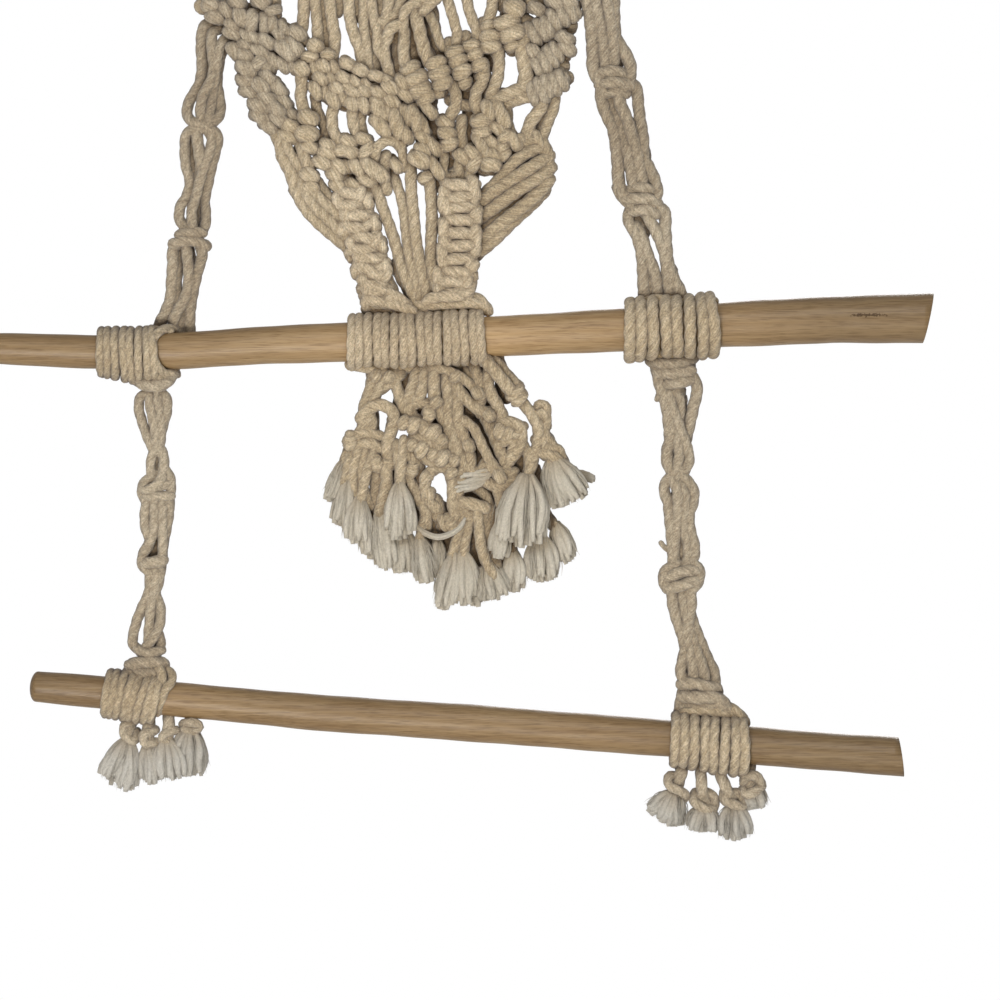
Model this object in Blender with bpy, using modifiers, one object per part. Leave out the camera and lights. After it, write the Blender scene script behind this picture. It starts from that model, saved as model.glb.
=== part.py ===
"""Macrame wall hanging with two wooden rods, knotted in thick cotton cord.

A tapering knotted panel hangs from a heading row. It is lashed to the upper rod, below which its cord ends
spread out as a knotted tail with frayed tassels. A chain of knots at each side carries the upper rod and,
further down, the lower rod, where each chain ends in four short tassels.

Units are metres, with +X to the right, +Z up and +Y towards the wall. The origin is the middle of the
heading's top edge. The knots are laid out on a working chart, as a maker pins cords on a board: "across"
counts steps to the right, "down" counts steps downwards, and "out" counts steps from the board to the viewer.
"""

import math
from collections import namedtuple

import bmesh
import bpy
from mathutils import Matrix, Vector

STEP = 0.0004  # one step of the chart
CENTRE_ACROSS = 415  # the panel's middle line on the chart
TOP_DOWN = -58  # the heading's top edge on the chart

CORD = 0.0062  # thickness of the cotton cord, across the corners of its four-sided strands
STRAND_SEGMENTS = 2  # straight stretches in a strand that bows
SEAT_GAP = 0.0006  # clearance between a cord and the rod or tassel that it meets

KNOT_DEPTH = 24 * STEP  # how thick a knot is, front to back
KNOT_GROOVE = 0.84  # a knot's radius between two ridges, as a share of its radius on them
KNOT_END = 0.86  # the same share at its first and last ridge
KNOT_SIDES = 6

LASHING_CORD = 10 * STEP
LASHING_GROOVE = 0.72  # a lashing's wall between two turns, as a share of its cord
LASHING_SIDES = 10

ROD_BEVEL = 5  # gives a rod 14 sides
ROUNDING = 3 * STEP  # length of the worn edge at a rod's left end
ROUNDED = 0.8  # the rod's thickness where that edge starts, as a share
SAW_BLOCK = 60 * STEP  # side of the block that cuts a rod's right end

TASSEL_HEAD = 15 * STEP  # width of the binding knot above a frayed end
LOCK_SHARES = (0.6, 1.0, 0.8)  # a lock's thickness at its root, belly and tip
LOCK_WIDTH = 0.86  # a lock's share of its place in the fan
LOCK_BULGE = 1.4  # how much wider its four-sided tube is, corner to corner
LOCK_LAYER = 0.9  # how far alternate locks stand apart, front to back, in thicknesses
ROOT_ACROSS, ROOT_DOWN = 0.4, 0.3  # where the outer locks leave the binding knot, in its radii
BELLY_DOWN, BELLY_OUT = 0.55, 0.1  # where a lock is thickest: its share of the way, and of the spread outwards
FAN_CURVE = 4 * STEP  # how much shorter the fan's outer locks are

Knot = namedtuple("Knot", "across down to_across to_down width ridges out")
Strand = namedtuple("Strand", "across down to_across to_down bow out to_out")
RodPoint = namedtuple("RodPoint", "across down thickness")
Cut = namedtuple("Cut", "across lean")  # the slanting saw cut at a rod's right end, and its lean in degrees
Lashing = namedtuple("Lashing", "name rod start end turns")
Tassel = namedtuple("Tassel", "name across down to_across to_down spread locks out")
TailCord = namedtuple("TailCord", "tassel across down bow out")
LashedCord = namedtuple("LashedCord", "tassel across down bow")

HEADING = Knot(198, -46, 604, -46, 24, 12, 0)

PANEL_KNOTS = [
    HEADING,
    # left border, from the shoulder down
    Knot(196, 4, 286, 12, 34, 6, 0),
    Knot(228, 34, 308, 48, 32, 6, 0),
    Knot(254, 52, 278, 116, 38, 5, 0),
    Knot(262, 116, 326, 134, 26, 5, 0),
    Knot(298, 148, 352, 168, 30, 4, 0),
    # two slanting rows across the middle
    Knot(300, 46, 396, 92, 24, 7, 0),
    Knot(312, 84, 416, 106, 26, 7, 0),
    # six coiled bars at the upper right
    Knot(402, 54, 432, 106, 25, 5, 2),
    Knot(422, 46, 448, 94, 24, 5, 4),
    Knot(446, 44, 466, 88, 21, 5, 0),
    Knot(466, 34, 486, 74, 21, 4, 2),
    Knot(480, 18, 502, 60, 23, 4, 0),
    Knot(498, 4, 516, 52, 32, 4, 2),
    # three bars of the right border
    Knot(516, 34, 578, 8, 28, 6, 0),
    Knot(518, 60, 574, 42, 28, 6, 0),
    Knot(524, 94, 566, 74, 32, 4, 0),
    # knots that gather the middle
    Knot(392, 104, 420, 168, 36, 5, 0),
    Knot(338, 142, 396, 178, 40, 5, 0),
    Knot(416, 172, 478, 160, 36, 5, 0),
    Knot(476, 96, 508, 172, 36, 6, 0),
    # the two long chains of square knots above the rod
    Knot(338, 182, 382, 302, 40, 8, 0),
    Knot(460, 178, 450, 303, 45, 8, 0),
]

PANEL_STRANDS = [
    # down from the heading, left to right
    Strand(212, -46, 214, 6, 0, 0, 0),
    Strand(234, -46, 236, 8, 0, 0, 0),
    Strand(256, -46, 256, 8, 0, 0, 0),
    Strand(276, -46, 274, 10, 0, 0, 0),
    Strand(303, -46, 304, 50, 0, 0, 0),
    Strand(317, -46, 322, 58, 1, 0, 0),
    Strand(331, -46, 335, 66, 1, 0, 0),
    Strand(348, -46, 355, 74, 6, 0, 0),
    Strand(366, -46, 366, 78, 0, 0, 0),
    Strand(381, -46, 384, 84, 0, 0, 0),
    Strand(396, -46, 391, 92, 3, 0, 0),
    Strand(410, -46, 408, 64, 2, 0, 0),
    Strand(424, -46, 424, 56, 3, 2, 4),
    Strand(430, -46, 450, 54, -2, -2, 0),
    Strand(450, -46, 468, 46, -2, 0, 0),
    Strand(471, -46, 484, 34, -2, 0, 0),
    Strand(493, -46, 492, 30, 0, 0, 0),
    Strand(512, -46, 508, 20, 0, 0, 0),
    Strand(530, -46, 528, 26, 0, 0, 0),
    Strand(550, -46, 548, 18, 0, 0, 0),
    Strand(568, -46, 566, 12, 0, 0, 0),
    # around the openings of the middle
    Strand(303, 52, 303, 124, 3, 0, 0),
    Strand(314, 92, 322, 150, 0, -4, -4),
    Strand(333, 94, 342, 150, 4, 0, 0),
    Strand(356, 98, 357, 150, 0, 0, 0),
    Strand(380, 102, 380, 152, -2, 0, 0),
    Strand(430, 98, 441, 168, 0, -2, -2),
    Strand(449, 84, 446, 128, -9, 0, 0),
    Strand(446, 128, 448, 166, 0, 0, 0),
    Strand(462, 84, 463, 166, -3, -4, -4),
    Strand(482, 66, 480, 116, 8, 0, 0),
    Strand(499, 54, 494, 110, -3, 0, 0),
    Strand(524, 88, 492, 110, 0, 0, 0),
    Strand(526, 40, 528, 88, 0, 1, 1),
    Strand(271, 122, 296, 196, 2, 0, 0),
    Strand(284, 124, 306, 190, 2, -2, -2),
    Strand(553, 84, 542, 150, -5, 0, 0),
    Strand(538, 92, 524, 150, 2, 0, 0),
    Strand(310, 160, 312, 196, 0, 0, 0),
    Strand(338, 160, 341, 200, 0, 0, 0),
    Strand(366, 166, 358, 206, 0, 0, 0),
    # the shoulder fans that draw in to the rod
    Strand(294, 186, 358, 264, 5, 0, 0),
    Strand(304, 186, 360, 250, 4, 2, 2),
    Strand(310, 190, 356, 232, 3, 4, 4),
    Strand(506, 150, 544, 160, 4, 2, 0),
    Strand(500, 158, 540, 172, 4, 0, 0),
    Strand(542, 146, 546, 184, -4, 0, 0),
    Strand(546, 178, 472, 252, -5, 0, 0),
    Strand(538, 170, 474, 232, -4, 2, 2),
    Strand(528, 164, 472, 206, -4, 2, 2),
    # four plain cords down the middle
    Strand(378, 172, 409, 303, 0, 3, 0),
    Strand(392, 168, 414, 303, -4, 3, 0),
    Strand(412, 156, 425, 303, 3, 3, 0),
    Strand(432, 172, 436, 303, 3, 3, 0),
]

CHAINS = {
    "chain_left_upper": (
        [
            Knot(203, 112, 203, 138, 38, 2, 0),
            Knot(190, 224, 189, 250, 36, 2, 0),
        ],
        [
            Strand(204, 8, 201, 118, 5, -18, 0),
            Strand(215, 8, 207, 118, -9, -19.5, 0),
            Strand(209, 8, 204, 118, 0, -23, -4),
            Strand(198, 132, 187, 232, 7, 0, 0),
            Strand(210, 132, 193, 232, -12, 0, 0),
            Strand(204, 132, 190, 232, 0, -4, -4),
            Strand(185, 242, 173, 352, 3, 0, -27.5),
            Strand(195, 242, 186, 352, -5, 0, -28),
            Strand(190, 242, 180, 352, 0, -4, -31),
        ],
    ),
    "chain_right_upper": (
        [
            Knot(611, 66, 614, 98, 46, 3, 0),
            Knot(636, 182, 640, 216, 48, 3, 0),
        ],
        [
            Strand(584, -32, 604, 76, 5, 0, 0),
            Strand(592, -32, 620, 74, -5, 0, 0),
            Strand(588, -32, 612, 74, 0, -5, -5),
            Strand(602, 88, 624, 192, 5, 0, 0),
            Strand(623, 88, 650, 192, -5, 0, 0),
            Strand(612, 88, 638, 192, 0, -5, -5),
            Strand(628, 206, 650, 289, 5, 0, 0),
            Strand(652, 206, 678, 289, -6, 0, 0),
            Strand(640, 206, 664, 289, 0, -4, 0),
        ],
    ),
    "chain_left_lower": (
        [
            Knot(136, 388, 174, 388, 14, 3, 0),
            Knot(157, 474, 157, 500, 38, 2, 0),
            Knot(151, 552, 152, 576, 33, 2, 0),
            Knot(149, 640, 149, 667, 44, 2, 0),
        ],
        [
            Strand(141, 386, 162, 482, 6, 0, 0),
            Strand(167, 386, 150, 482, -7, 2, 2),
            Strand(155, 386, 156, 482, 0, -5, -5),
            Strand(148, 492, 145, 560, 8, 0, 0),
            Strand(166, 492, 159, 560, -8, 0, 0),
            Strand(157, 492, 152, 560, 0, -5, -5),
            Strand(147, 570, 138, 650, -10, 0, 0),
            Strand(157, 570, 161, 650, 8, 0, 0),
            Strand(152, 570, 150, 650, 0, -5, -5),
        ],
    ),
    "chain_right_lower": (
        [
            Knot(675, 360, 676, 392, 42, 3, 0),
            Knot(678, 452, 680, 492, 38, 3, 0),
            Knot(682, 560, 682, 594, 44, 3, 0),
        ],
        [
            Strand(662, 380, 684, 460, 3, 0, 0),
            Strand(690, 378, 672, 460, -12, 2, 2),
            Strand(676, 378, 678, 460, 0, -5, -5),
            Strand(670, 484, 672, 570, 7, 0, 0),
            Strand(690, 484, 690, 570, -6, 0, 0),
            Strand(680, 484, 681, 570, 0, -5, -5),
            Strand(676, 586, 686, 708, 4, 0, 0),
            Strand(690, 586, 720, 709, -2, 0, 0),
            Strand(683, 586, 703, 708, 0, 6, 3),
        ],
    ),
}

UPPER_ROD = [
    RodPoint(-102, 348, 27),
    RodPoint(0, 348.5, 31),
    RodPoint(90, 352, 34),
    RodPoint(180, 351, 36),
    RodPoint(260, 345.4, 38),
    RodPoint(490, 336.7, 40.5),
    RodPoint(720, 325, 44.5),
    RodPoint(830, 319.8, 47),
    RodPoint(940, 318, 49.5),
]
LOWER_ROD = [
    RodPoint(30, 686, 30),
    RodPoint(90, 691.3, 33),
    RodPoint(320, 712.9, 36),
    RodPoint(470, 723, 37),
    RodPoint(700, 740.8, 37),
    RodPoint(800, 749.6, 38),
    RodPoint(912, 757.6, 39),
]
UPPER_CUT = Cut(928, 12)
LOWER_CUT = Cut(901, -8)

LASHINGS = [
    Lashing("lashing_left", "upper", 97, 160, 7),
    Lashing("lashing_centre", "upper", 345, 488, 14),
    Lashing("lashing_right", "upper", 623, 720, 8),
    Lashing("lashing_lower_left", "lower", 103, 172, 7),
    Lashing("lashing_lower_right", "lower", 668, 750, 8),
]

TAIL_KNOTS = [
    Knot(364, 380, 492, 376, 14, 10, 0),
    Knot(378, 384, 350, 446, 24, 4, 2),
    Knot(396, 400, 440, 452, 30, 5, 4),
    Knot(428, 398, 428, 440, 24, 4, 8),
    Knot(506, 380, 528, 416, 22, 3, 2),
    Knot(498, 424, 506, 490, 28, 5, 6),
]

TAIL_STRANDS = [
    Strand(372, 380, 353, 452, 4, 0, 2),
    Strand(380, 380, 394, 412, -3, 0, 0),
    Strand(360, 424, 400, 430, -6, 4, 4),
    Strand(394, 408, 376, 466, -5, 6, 6),
    Strand(410, 380, 428, 402, 0, 0, 6),
    Strand(434, 378, 446, 440, 0, 4, 8),
    Strand(446, 434, 456, 518, 3, 4, 4),
    Strand(458, 376, 500, 432, -4, 4, 4),
    Strand(486, 376, 512, 390, 0, 0, 2),
    Strand(524, 408, 536, 446, 5, 2, 2),
    Strand(520, 408, 508, 432, 0, 0, 4),
    Strand(502, 486, 472, 512, -3, 6, 6),
    Strand(386, 380, 366, 440, -2, -4, -2),
    Strand(420, 380, 412, 430, 2, -2, 2),
    Strand(446, 378, 452, 436, -2, -2, 4),
    Strand(470, 378, 490, 436, 2, -4, 0),
    Strand(452, 430, 478, 500, -3, 2, 2),
    Strand(480, 400, 462, 470, 0, 0, 2),
    Strand(440, 446, 466, 500, 2, -2, 2),
]

TASSELS = [
    # the tail's frayed ends
    Tassel("tassel_tail_01", 338, 461, 323, 504, 17, 4, 2),
    Tassel("tassel_tail_02", 351, 480, 337, 534, 18, 4, 5),
    Tassel("tassel_tail_03", 364, 504, 356, 548, 20, 4, 10),
    Tassel("tassel_tail_04", 400, 480, 400, 541, 32, 5, 11),
    Tassel("tassel_tail_05", 381, 512, 384, 571, 26, 4, -2),
    Tassel("tassel_tail_06", 422, 536, 425, 584, 22, 4, 7),
    Tassel("tassel_tail_07", 404, 544, 403, 575, 24, 4, -6),
    Tassel("tassel_tail_08", 454, 540, 441, 612, 22, 4, 10),
    Tassel("tassel_tail_09", 471, 543, 469, 609, 24, 4, 5),
    Tassel("tassel_tail_10", 489, 542, 500, 600, 28, 5, -1),
    Tassel("tassel_tail_11", 528, 474, 516, 560, 46, 6, 11),
    Tassel("tassel_tail_12", 513, 556, 520, 595, 26, 4, -7),
    Tassel("tassel_tail_13", 546, 538, 548, 584, 28, 4, -9),
    Tassel("tassel_tail_14", 562, 528, 569, 562, 22, 4, -15),
    Tassel("tassel_tail_15", 549, 460, 570, 510, 38, 5, 6),
    Tassel("tassel_tail_16", 566, 473, 595, 485, 10, 3, -16),
    # below the lower rod, at its left
    Tassel("tassel_left_01", 127, 734, 113, 793, 32, 5, 2),
    Tassel("tassel_left_02", 146, 741, 149, 785, 18, 4, 0),
    Tassel("tassel_left_03", 164, 743, 169, 785, 18, 4, 3),
    Tassel("tassel_left_04", 193, 735, 201, 777, 24, 4, -2),
    # and at its right
    Tassel("tassel_right_01", 676, 783, 664, 827, 38, 5, 2),
    Tassel("tassel_right_02", 704, 800, 702, 834, 30, 4, 4),
    Tassel("tassel_right_03", 731, 801, 735, 841, 32, 4, 2),
    Tassel("tassel_right_04", 753, 785, 756, 811, 20, 4, 0),
]

TAIL_CORDS = [
    # the tail's cords that end in a tassel: where each leaves the knots, and how it bows
    TailCord("tassel_tail_01", 352, 436, 0, 2),
    TailCord("tassel_tail_02", 356, 430, 0, 4),
    TailCord("tassel_tail_03", 376, 456, -3, 6),
    TailCord("tassel_tail_04", 404, 426, 4, 8),
    TailCord("tassel_tail_05", 376, 458, 0, 2),
    TailCord("tassel_tail_06", 432, 446, 9, 4),
    TailCord("tassel_tail_07", 434, 444, 2, -2),
    TailCord("tassel_tail_08", 456, 512, 0, 5),
    TailCord("tassel_tail_09", 476, 506, 0, 6),
    TailCord("tassel_tail_10", 480, 506, 0, 4),
    TailCord("tassel_tail_11", 506, 436, -5, 6),
    TailCord("tassel_tail_12", 502, 480, 3, -2),
    TailCord("tassel_tail_13", 504, 480, 4, -4),
    TailCord("tassel_tail_14", 506, 476, 6, -6),
    TailCord("tassel_tail_15", 530, 414, -4, 2),
    TailCord("tassel_tail_16", 536, 436, -2, -4),
]
LASHED_CORDS = [
    # the short cords from below the lower lashings, each in one piece with its tassel
    LashedCord("tassel_left_01", 124.5, 724, 0),
    LashedCord("tassel_left_02", 141, 726.5, 0),
    LashedCord("tassel_left_03", 157.5, 729.5, 0),
    LashedCord("tassel_left_04", 173.2, 729.6, 0),
    LashedCord("tassel_right_01", 682, 772, 0),
    LashedCord("tassel_right_02", 700, 774, -2),
    LashedCord("tassel_right_03", 717, 776, 2),
    LashedCord("tassel_right_04", 739, 781.5, 2),
]


def clear_scene():
    for old in list(bpy.data.objects):
        bpy.data.objects.remove(old, do_unlink=True)


def make_collection(name, hidden=False):
    group = bpy.data.collections.new(name)
    bpy.context.scene.collection.children.link(group)
    group.hide_render = hidden
    return group


def make_material(name, colour, roughness):
    material = bpy.data.materials.new(name)
    material.use_nodes = True
    shader = material.node_tree.nodes["Principled BSDF"]
    shader.inputs["Base Color"].default_value = (*colour, 1)
    shader.inputs["Roughness"].default_value = roughness
    shader.inputs["Metallic"].default_value = 0
    return material


def chart(across, down, out=0.0):
    """The place of a point of the chart, in metres."""
    return Vector(((across - CENTRE_ACROSS) * STEP, -out * STEP, (TOP_DOWN - down) * STEP))


def as_helper(obj):
    obj.hide_render = True
    obj.display_type = "WIRE"
    return obj


def mesh_from(curve_object, name, collection):
    """A curve's tube as a mesh object with its caps welded on; the curve itself is removed."""
    graph = bpy.context.evaluated_depsgraph_get()
    mesh = bpy.data.meshes.new_from_object(curve_object.evaluated_get(graph))
    welded = bmesh.new()
    welded.from_mesh(mesh)
    bmesh.ops.remove_doubles(welded, verts=welded.verts, dist=1e-6)
    bmesh.ops.recalc_face_normals(welded, faces=welded.faces)
    welded.to_mesh(mesh)
    welded.free()
    made = bpy.data.objects.new(name, mesh)
    made.matrix_world = curve_object.matrix_world
    collection.objects.link(made)
    bpy.data.objects.remove(curve_object, do_unlink=True)
    return made


def make_tube(name, points, radius, shares, bevel_resolution, collection):
    """A tube through the points, whose radius at each is the given share of the full one."""
    data = bpy.data.curves.new(name, "CURVE")
    data.dimensions = "3D"
    data.bevel_depth = radius
    data.bevel_resolution = bevel_resolution
    data.use_fill_caps = True
    data.twist_mode = "MINIMUM"
    spline = data.splines.new("POLY")
    spline.points.add(len(points) - 1)
    for spot, place, share in zip(spline.points, points, shares):
        spot.co = (*place, 1)
        spot.radius = share
    curve_object = bpy.data.objects.new(name + "_curve", data)
    collection.objects.link(curve_object)
    bpy.context.view_layer.update()
    return mesh_from(curve_object, name, collection)


def bowed(start, end, bow, segments):
    """Points from start to end on an arc that swings sideways by bow at its middle."""
    along = (end - start).normalized()
    sideways = Vector((-along.z, 0, along.x)) * -1
    points = []
    for index in range(segments + 1):
        share = index / segments
        points.append(start.lerp(end, share) + sideways * bow * 4 * share * (1 - share))
    return points


def make_strand(name, strand, collection, short=0.0):
    """A cord from one place to another, which may stop short of the second."""
    start = chart(strand.across, strand.down, strand.out)
    end = chart(strand.to_across, strand.to_down, strand.to_out)
    end -= (end - start).normalized() * short
    points = bowed(start, end, strand.bow * STEP, STRAND_SEGMENTS if strand.bow else 1)
    return make_tube(name, points, CORD / 2, [1] * len(points), 0, collection)


def turned(name, profile, sides, collection, bored=False):
    """A solid turned about its local Z from (radius, height) pairs that run from the top down.

    A bored one has a hole along its axis, so its profile closes on itself.
    """
    mesh = bpy.data.meshes.new(name)
    points = [(radius, 0, height) for radius, height in profile]
    edges = [(index, index + 1) for index in range(len(points) - 1)]
    if bored:
        edges.append((len(points) - 1, 0))
    mesh.from_pydata(points, edges, [])
    obj = bpy.data.objects.new(name, mesh)
    collection.objects.link(obj)
    screw = obj.modifiers.new("turn", "SCREW")
    screw.axis = "Z"
    screw.steps = screw.render_steps = sides
    screw.use_merge_vertices = True
    screw.merge_threshold = 1e-6
    return obj


def lay_along(obj, start, end, flatten=1.0):
    """Turn the object's local Z from start to end, and flatten it front to back."""
    along = (end - start).normalized()
    back = Vector((0, 1, 0))
    across = back.cross(along).normalized()
    depth = along.cross(across)
    turn = Matrix((across, depth, along)).transposed().to_4x4()
    obj.matrix_world = Matrix.Translation((start + end) / 2) @ turn @ Matrix.Diagonal((1, flatten, 1, 1))


def make_knot(name, knot, collection):
    """A ridged bar: each ridge is one turn of cord, and the bar rounds off at both ends."""
    start = chart(knot.across, knot.down, knot.out)
    end = chart(knot.to_across, knot.to_down, knot.out)
    length = (end - start).length
    radius = knot.width * STEP / 2
    rows = 2 * knot.ridges - 1
    profile = [(0, length / 2)]
    for row in range(rows):
        height = length * (0.5 - (row + 0.5) / rows)
        share = KNOT_GROOVE if row % 2 else 1.0
        if row in (0, rows - 1):
            share = KNOT_END
        profile.append((radius * share, height))
    profile.append((0, -length / 2))
    obj = turned(name, profile, KNOT_SIDES, collection)
    lay_along(obj, start, end, min(1.0, KNOT_DEPTH / (knot.width * STEP)))
    return obj


def fuse(name, pieces, material, parts, helpers):
    """One closed body from pieces that run into each other, each of them closed as the quick solver needs."""
    bpy.context.view_layer.update()
    graph = bpy.context.evaluated_depsgraph_get()
    mesh = bpy.data.meshes.new_from_object(pieces[0].evaluated_get(graph))
    mesh.transform(pieces[0].matrix_world)
    body = bpy.data.objects.new(name, mesh)
    parts.objects.link(body)
    bpy.data.objects.remove(pieces[0], do_unlink=True)
    operands = bpy.data.collections.new(name + "_pieces")
    helpers.children.link(operands)
    operands.hide_render = True
    for piece in pieces[1:]:
        helpers.objects.unlink(piece)
        operands.objects.link(as_helper(piece))
    join = body.modifiers.new("join", "BOOLEAN")
    join.operation = "UNION"
    join.solver = "MANIFOLD"
    join.operand_type = "COLLECTION"
    join.collection = operands
    body.data.materials.clear()
    body.data.materials.append(material)
    return body


def make_pieces(name, knots, strands, helpers):
    pieces = [make_knot(f"{name}_knot_{i:02d}", knot, helpers) for i, knot in enumerate(knots)]
    pieces += [make_strand(f"{name}_strand_{i:02d}", strand, helpers) for i, strand in enumerate(strands)]
    return pieces


def make_macrame(name, knots, strands, material, parts, helpers):
    pieces = make_pieces(name, knots, strands, helpers)
    return fuse(name, pieces, material, parts, helpers)


def make_tail(material, parts, helpers):
    """The knotted tail, whose cords stop just above the tassels that end them."""
    pieces = make_pieces("tail", TAIL_KNOTS, TAIL_STRANDS, helpers)
    heads = {tassel.name: tassel for tassel in TASSELS}
    for cord in TAIL_CORDS:
        head = heads[cord.tassel]
        strand = Strand(cord.across, cord.down, head.across, head.down, cord.bow, cord.out, head.out)
        short = TASSEL_HEAD / 2 + SEAT_GAP
        pieces.append(make_strand(cord.tassel + "_cord", strand, helpers, short))
    return fuse("tail", pieces, material, parts, helpers)


def make_rod(name, points, saw_cut, material, parts, helpers):
    """A tapering stick with a rounded left end and a slanting saw cut at the right."""
    places = [chart(point.across, point.down) for point in points]
    thickest = max(point.thickness for point in points)
    shares = [point.thickness / thickest for point in points]
    first = places[0]
    toward = (places[1] - first).normalized()
    places = [first, first + toward * ROUNDING] + places[1:]
    shares = [shares[0] * ROUNDED] + shares
    rod = make_tube(name, places, thickest * STEP / 2, shares, ROD_BEVEL, parts)
    end = chart(saw_cut.across, points[-1].down)
    bpy.ops.mesh.primitive_cube_add(size=SAW_BLOCK)
    cutter = bpy.context.object
    cutter.name = name + "_cutter"
    for old in list(cutter.users_collection):
        old.objects.unlink(cutter)
    helpers.objects.link(as_helper(cutter))
    lean = Matrix.Rotation(math.radians(saw_cut.lean), 4, "Y")
    cutter.matrix_world = Matrix.Translation(end) @ lean @ Matrix.Translation((SAW_BLOCK / 2, 0, 0))
    cut = rod.modifiers.new("cut", "BOOLEAN")
    cut.operation = "DIFFERENCE"
    cut.object = cutter
    rod.data.materials.append(material)
    return rod


def rod_at(points, across):
    """The rod's centre and radius at a place along it."""
    for left, right in zip(points, points[1:]):
        if left.across <= across <= right.across:
            share = (across - left.across) / (right.across - left.across)
            down = left.down + (right.down - left.down) * share
            thickness = left.thickness + (right.thickness - left.thickness) * share
            return chart(across, down), thickness * STEP / 2


def make_lashing(lashing, points, material, parts):
    """The turns of cord wound round a rod, as one ridged sleeve with a clear bore."""
    start, _ = rod_at(points, lashing.start)
    end, _ = rod_at(points, lashing.end)
    middle, _ = rod_at(points, (lashing.start + lashing.end) / 2)
    sag = abs(middle.z - (start.z + end.z) / 2)
    bore = max(rod_at(points, lashing.start)[1], rod_at(points, lashing.end)[1]) + sag + SEAT_GAP
    length = (end - start).length
    rows = 2 * lashing.turns - 1
    profile = [(bore, length / 2)]
    for row in range(rows):
        height = length * (0.5 - (row + 0.5) / rows)
        share = LASHING_GROOVE if row % 2 else 1.0
        profile.append((bore + LASHING_CORD * share, height))
    profile.append((bore, -length / 2))
    obj = turned(lashing.name, profile, LASHING_SIDES, parts, bored=True)
    lay_along(obj, start, end)
    obj.data.materials.append(material)


def make_tassel(tassel, material, parts, helpers):
    """A binding knot with frayed locks that stand apart below it."""
    head = chart(tassel.across, tassel.down, tassel.out)
    tip = chart(tassel.to_across, tassel.to_down, tassel.out)
    down = (tip - head).normalized()
    sideways = Vector((down.z, 0, -down.x))
    radius = TASSEL_HEAD / 2
    profile = [(0, radius), (radius, radius / 2), (radius, -radius / 2), (0, -radius)]
    knot = turned(tassel.name + "_head", profile, KNOT_SIDES, helpers)
    lay_along(knot, head - down * radius, head + down * radius)
    pieces = [knot]
    for cord in LASHED_CORDS:
        if cord.tassel == tassel.name:
            strand = Strand(cord.across, cord.down, tassel.across, tassel.down, cord.bow, 0, tassel.out)
            pieces.append(make_strand(tassel.name + "_cord", strand, helpers))
    spread = tassel.spread * STEP
    thickness = spread / tassel.locks * LOCK_WIDTH
    for index in range(tassel.locks):
        fan = 2 * index / (tassel.locks - 1) - 1
        layer = (index % 2 - 0.5) * thickness * LOCK_LAYER
        root = head + sideways * fan * radius * ROOT_ACROSS + down * radius * ROOT_DOWN
        end = tip + sideways * fan * (spread - thickness) / 2 - down * abs(fan) * FAN_CURVE
        end.y += layer
        belly = root.lerp(end, BELLY_DOWN) + sideways * fan * spread * BELLY_OUT
        lock_name = f"{tassel.name}_lock_{index}"
        lock_radius = thickness / 2 * LOCK_BULGE
        pieces.append(make_tube(lock_name, [root, belly, end], lock_radius, LOCK_SHARES, 0, helpers))
    return fuse(tassel.name, pieces, material, parts, helpers)


def main():
    clear_scene()
    parts = make_collection("macrame_wall_hanging")
    helpers = make_collection("construction", hidden=True)
    cotton = make_material("cotton_cord", (0.46, 0.37, 0.26), 0.9)
    frayed = make_material("frayed_cotton", (0.60, 0.57, 0.50), 0.95)
    wood = make_material("wood", (0.42, 0.24, 0.12), 0.45)

    make_rod("rod_upper", UPPER_ROD, UPPER_CUT, wood, parts, helpers)
    make_rod("rod_lower", LOWER_ROD, LOWER_CUT, wood, parts, helpers)
    for lashing in LASHINGS:
        points = UPPER_ROD if lashing.rod == "upper" else LOWER_ROD
        make_lashing(lashing, points, cotton, parts)
    make_macrame("panel", PANEL_KNOTS, PANEL_STRANDS, cotton, parts, helpers)
    for name, (knots, strands) in CHAINS.items():
        make_macrame(name, knots, strands, cotton, parts, helpers)
    make_tail(cotton, parts, helpers)
    for tassel in TASSELS:
        make_tassel(tassel, frayed, parts, helpers)


main()
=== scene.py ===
# %% [markdown]
# # A knotted cotton wall hanging
# Macrame is cloth made with knots alone. Thick cotton cord hangs from a heading, is tied into bars, knots
# and chains, and its cut ends are combed out into tassels. The construction is loaded first as a fixed
# frame: plain solids that say where every piece sits. Each later cell dresses one of those pieces.

# %% Load the frame
import math
import random
from collections import namedtuple

import bmesh
import bpy
import numpy as np
from mathutils import Matrix, Vector


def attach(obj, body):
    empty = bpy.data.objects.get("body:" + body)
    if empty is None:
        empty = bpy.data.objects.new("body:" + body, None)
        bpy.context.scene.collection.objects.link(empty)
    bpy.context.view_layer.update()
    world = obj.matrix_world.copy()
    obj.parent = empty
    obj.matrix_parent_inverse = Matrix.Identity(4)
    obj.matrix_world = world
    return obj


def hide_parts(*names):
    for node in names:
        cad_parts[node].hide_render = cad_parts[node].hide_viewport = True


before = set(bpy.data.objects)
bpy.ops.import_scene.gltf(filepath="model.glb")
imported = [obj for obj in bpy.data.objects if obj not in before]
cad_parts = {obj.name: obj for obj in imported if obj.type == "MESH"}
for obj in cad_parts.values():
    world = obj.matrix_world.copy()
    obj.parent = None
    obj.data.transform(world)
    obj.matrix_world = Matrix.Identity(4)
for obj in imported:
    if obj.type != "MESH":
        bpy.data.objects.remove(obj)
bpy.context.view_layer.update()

# %% [markdown]
# ## The knotting board
# A maker pins cords on a board marked in squares, and reads each place from it. The board here does the
# same: "across" counts steps to the right, "down" counts them downwards, and "out" counts them from the
# board to the viewer. One step is 0.4 mm, so a 12-step cord is 4.8 mm thick.

# %% Board
STEP = 0.0004
MIDDLE_ACROSS = 415
TOP_DOWN = -58


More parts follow.
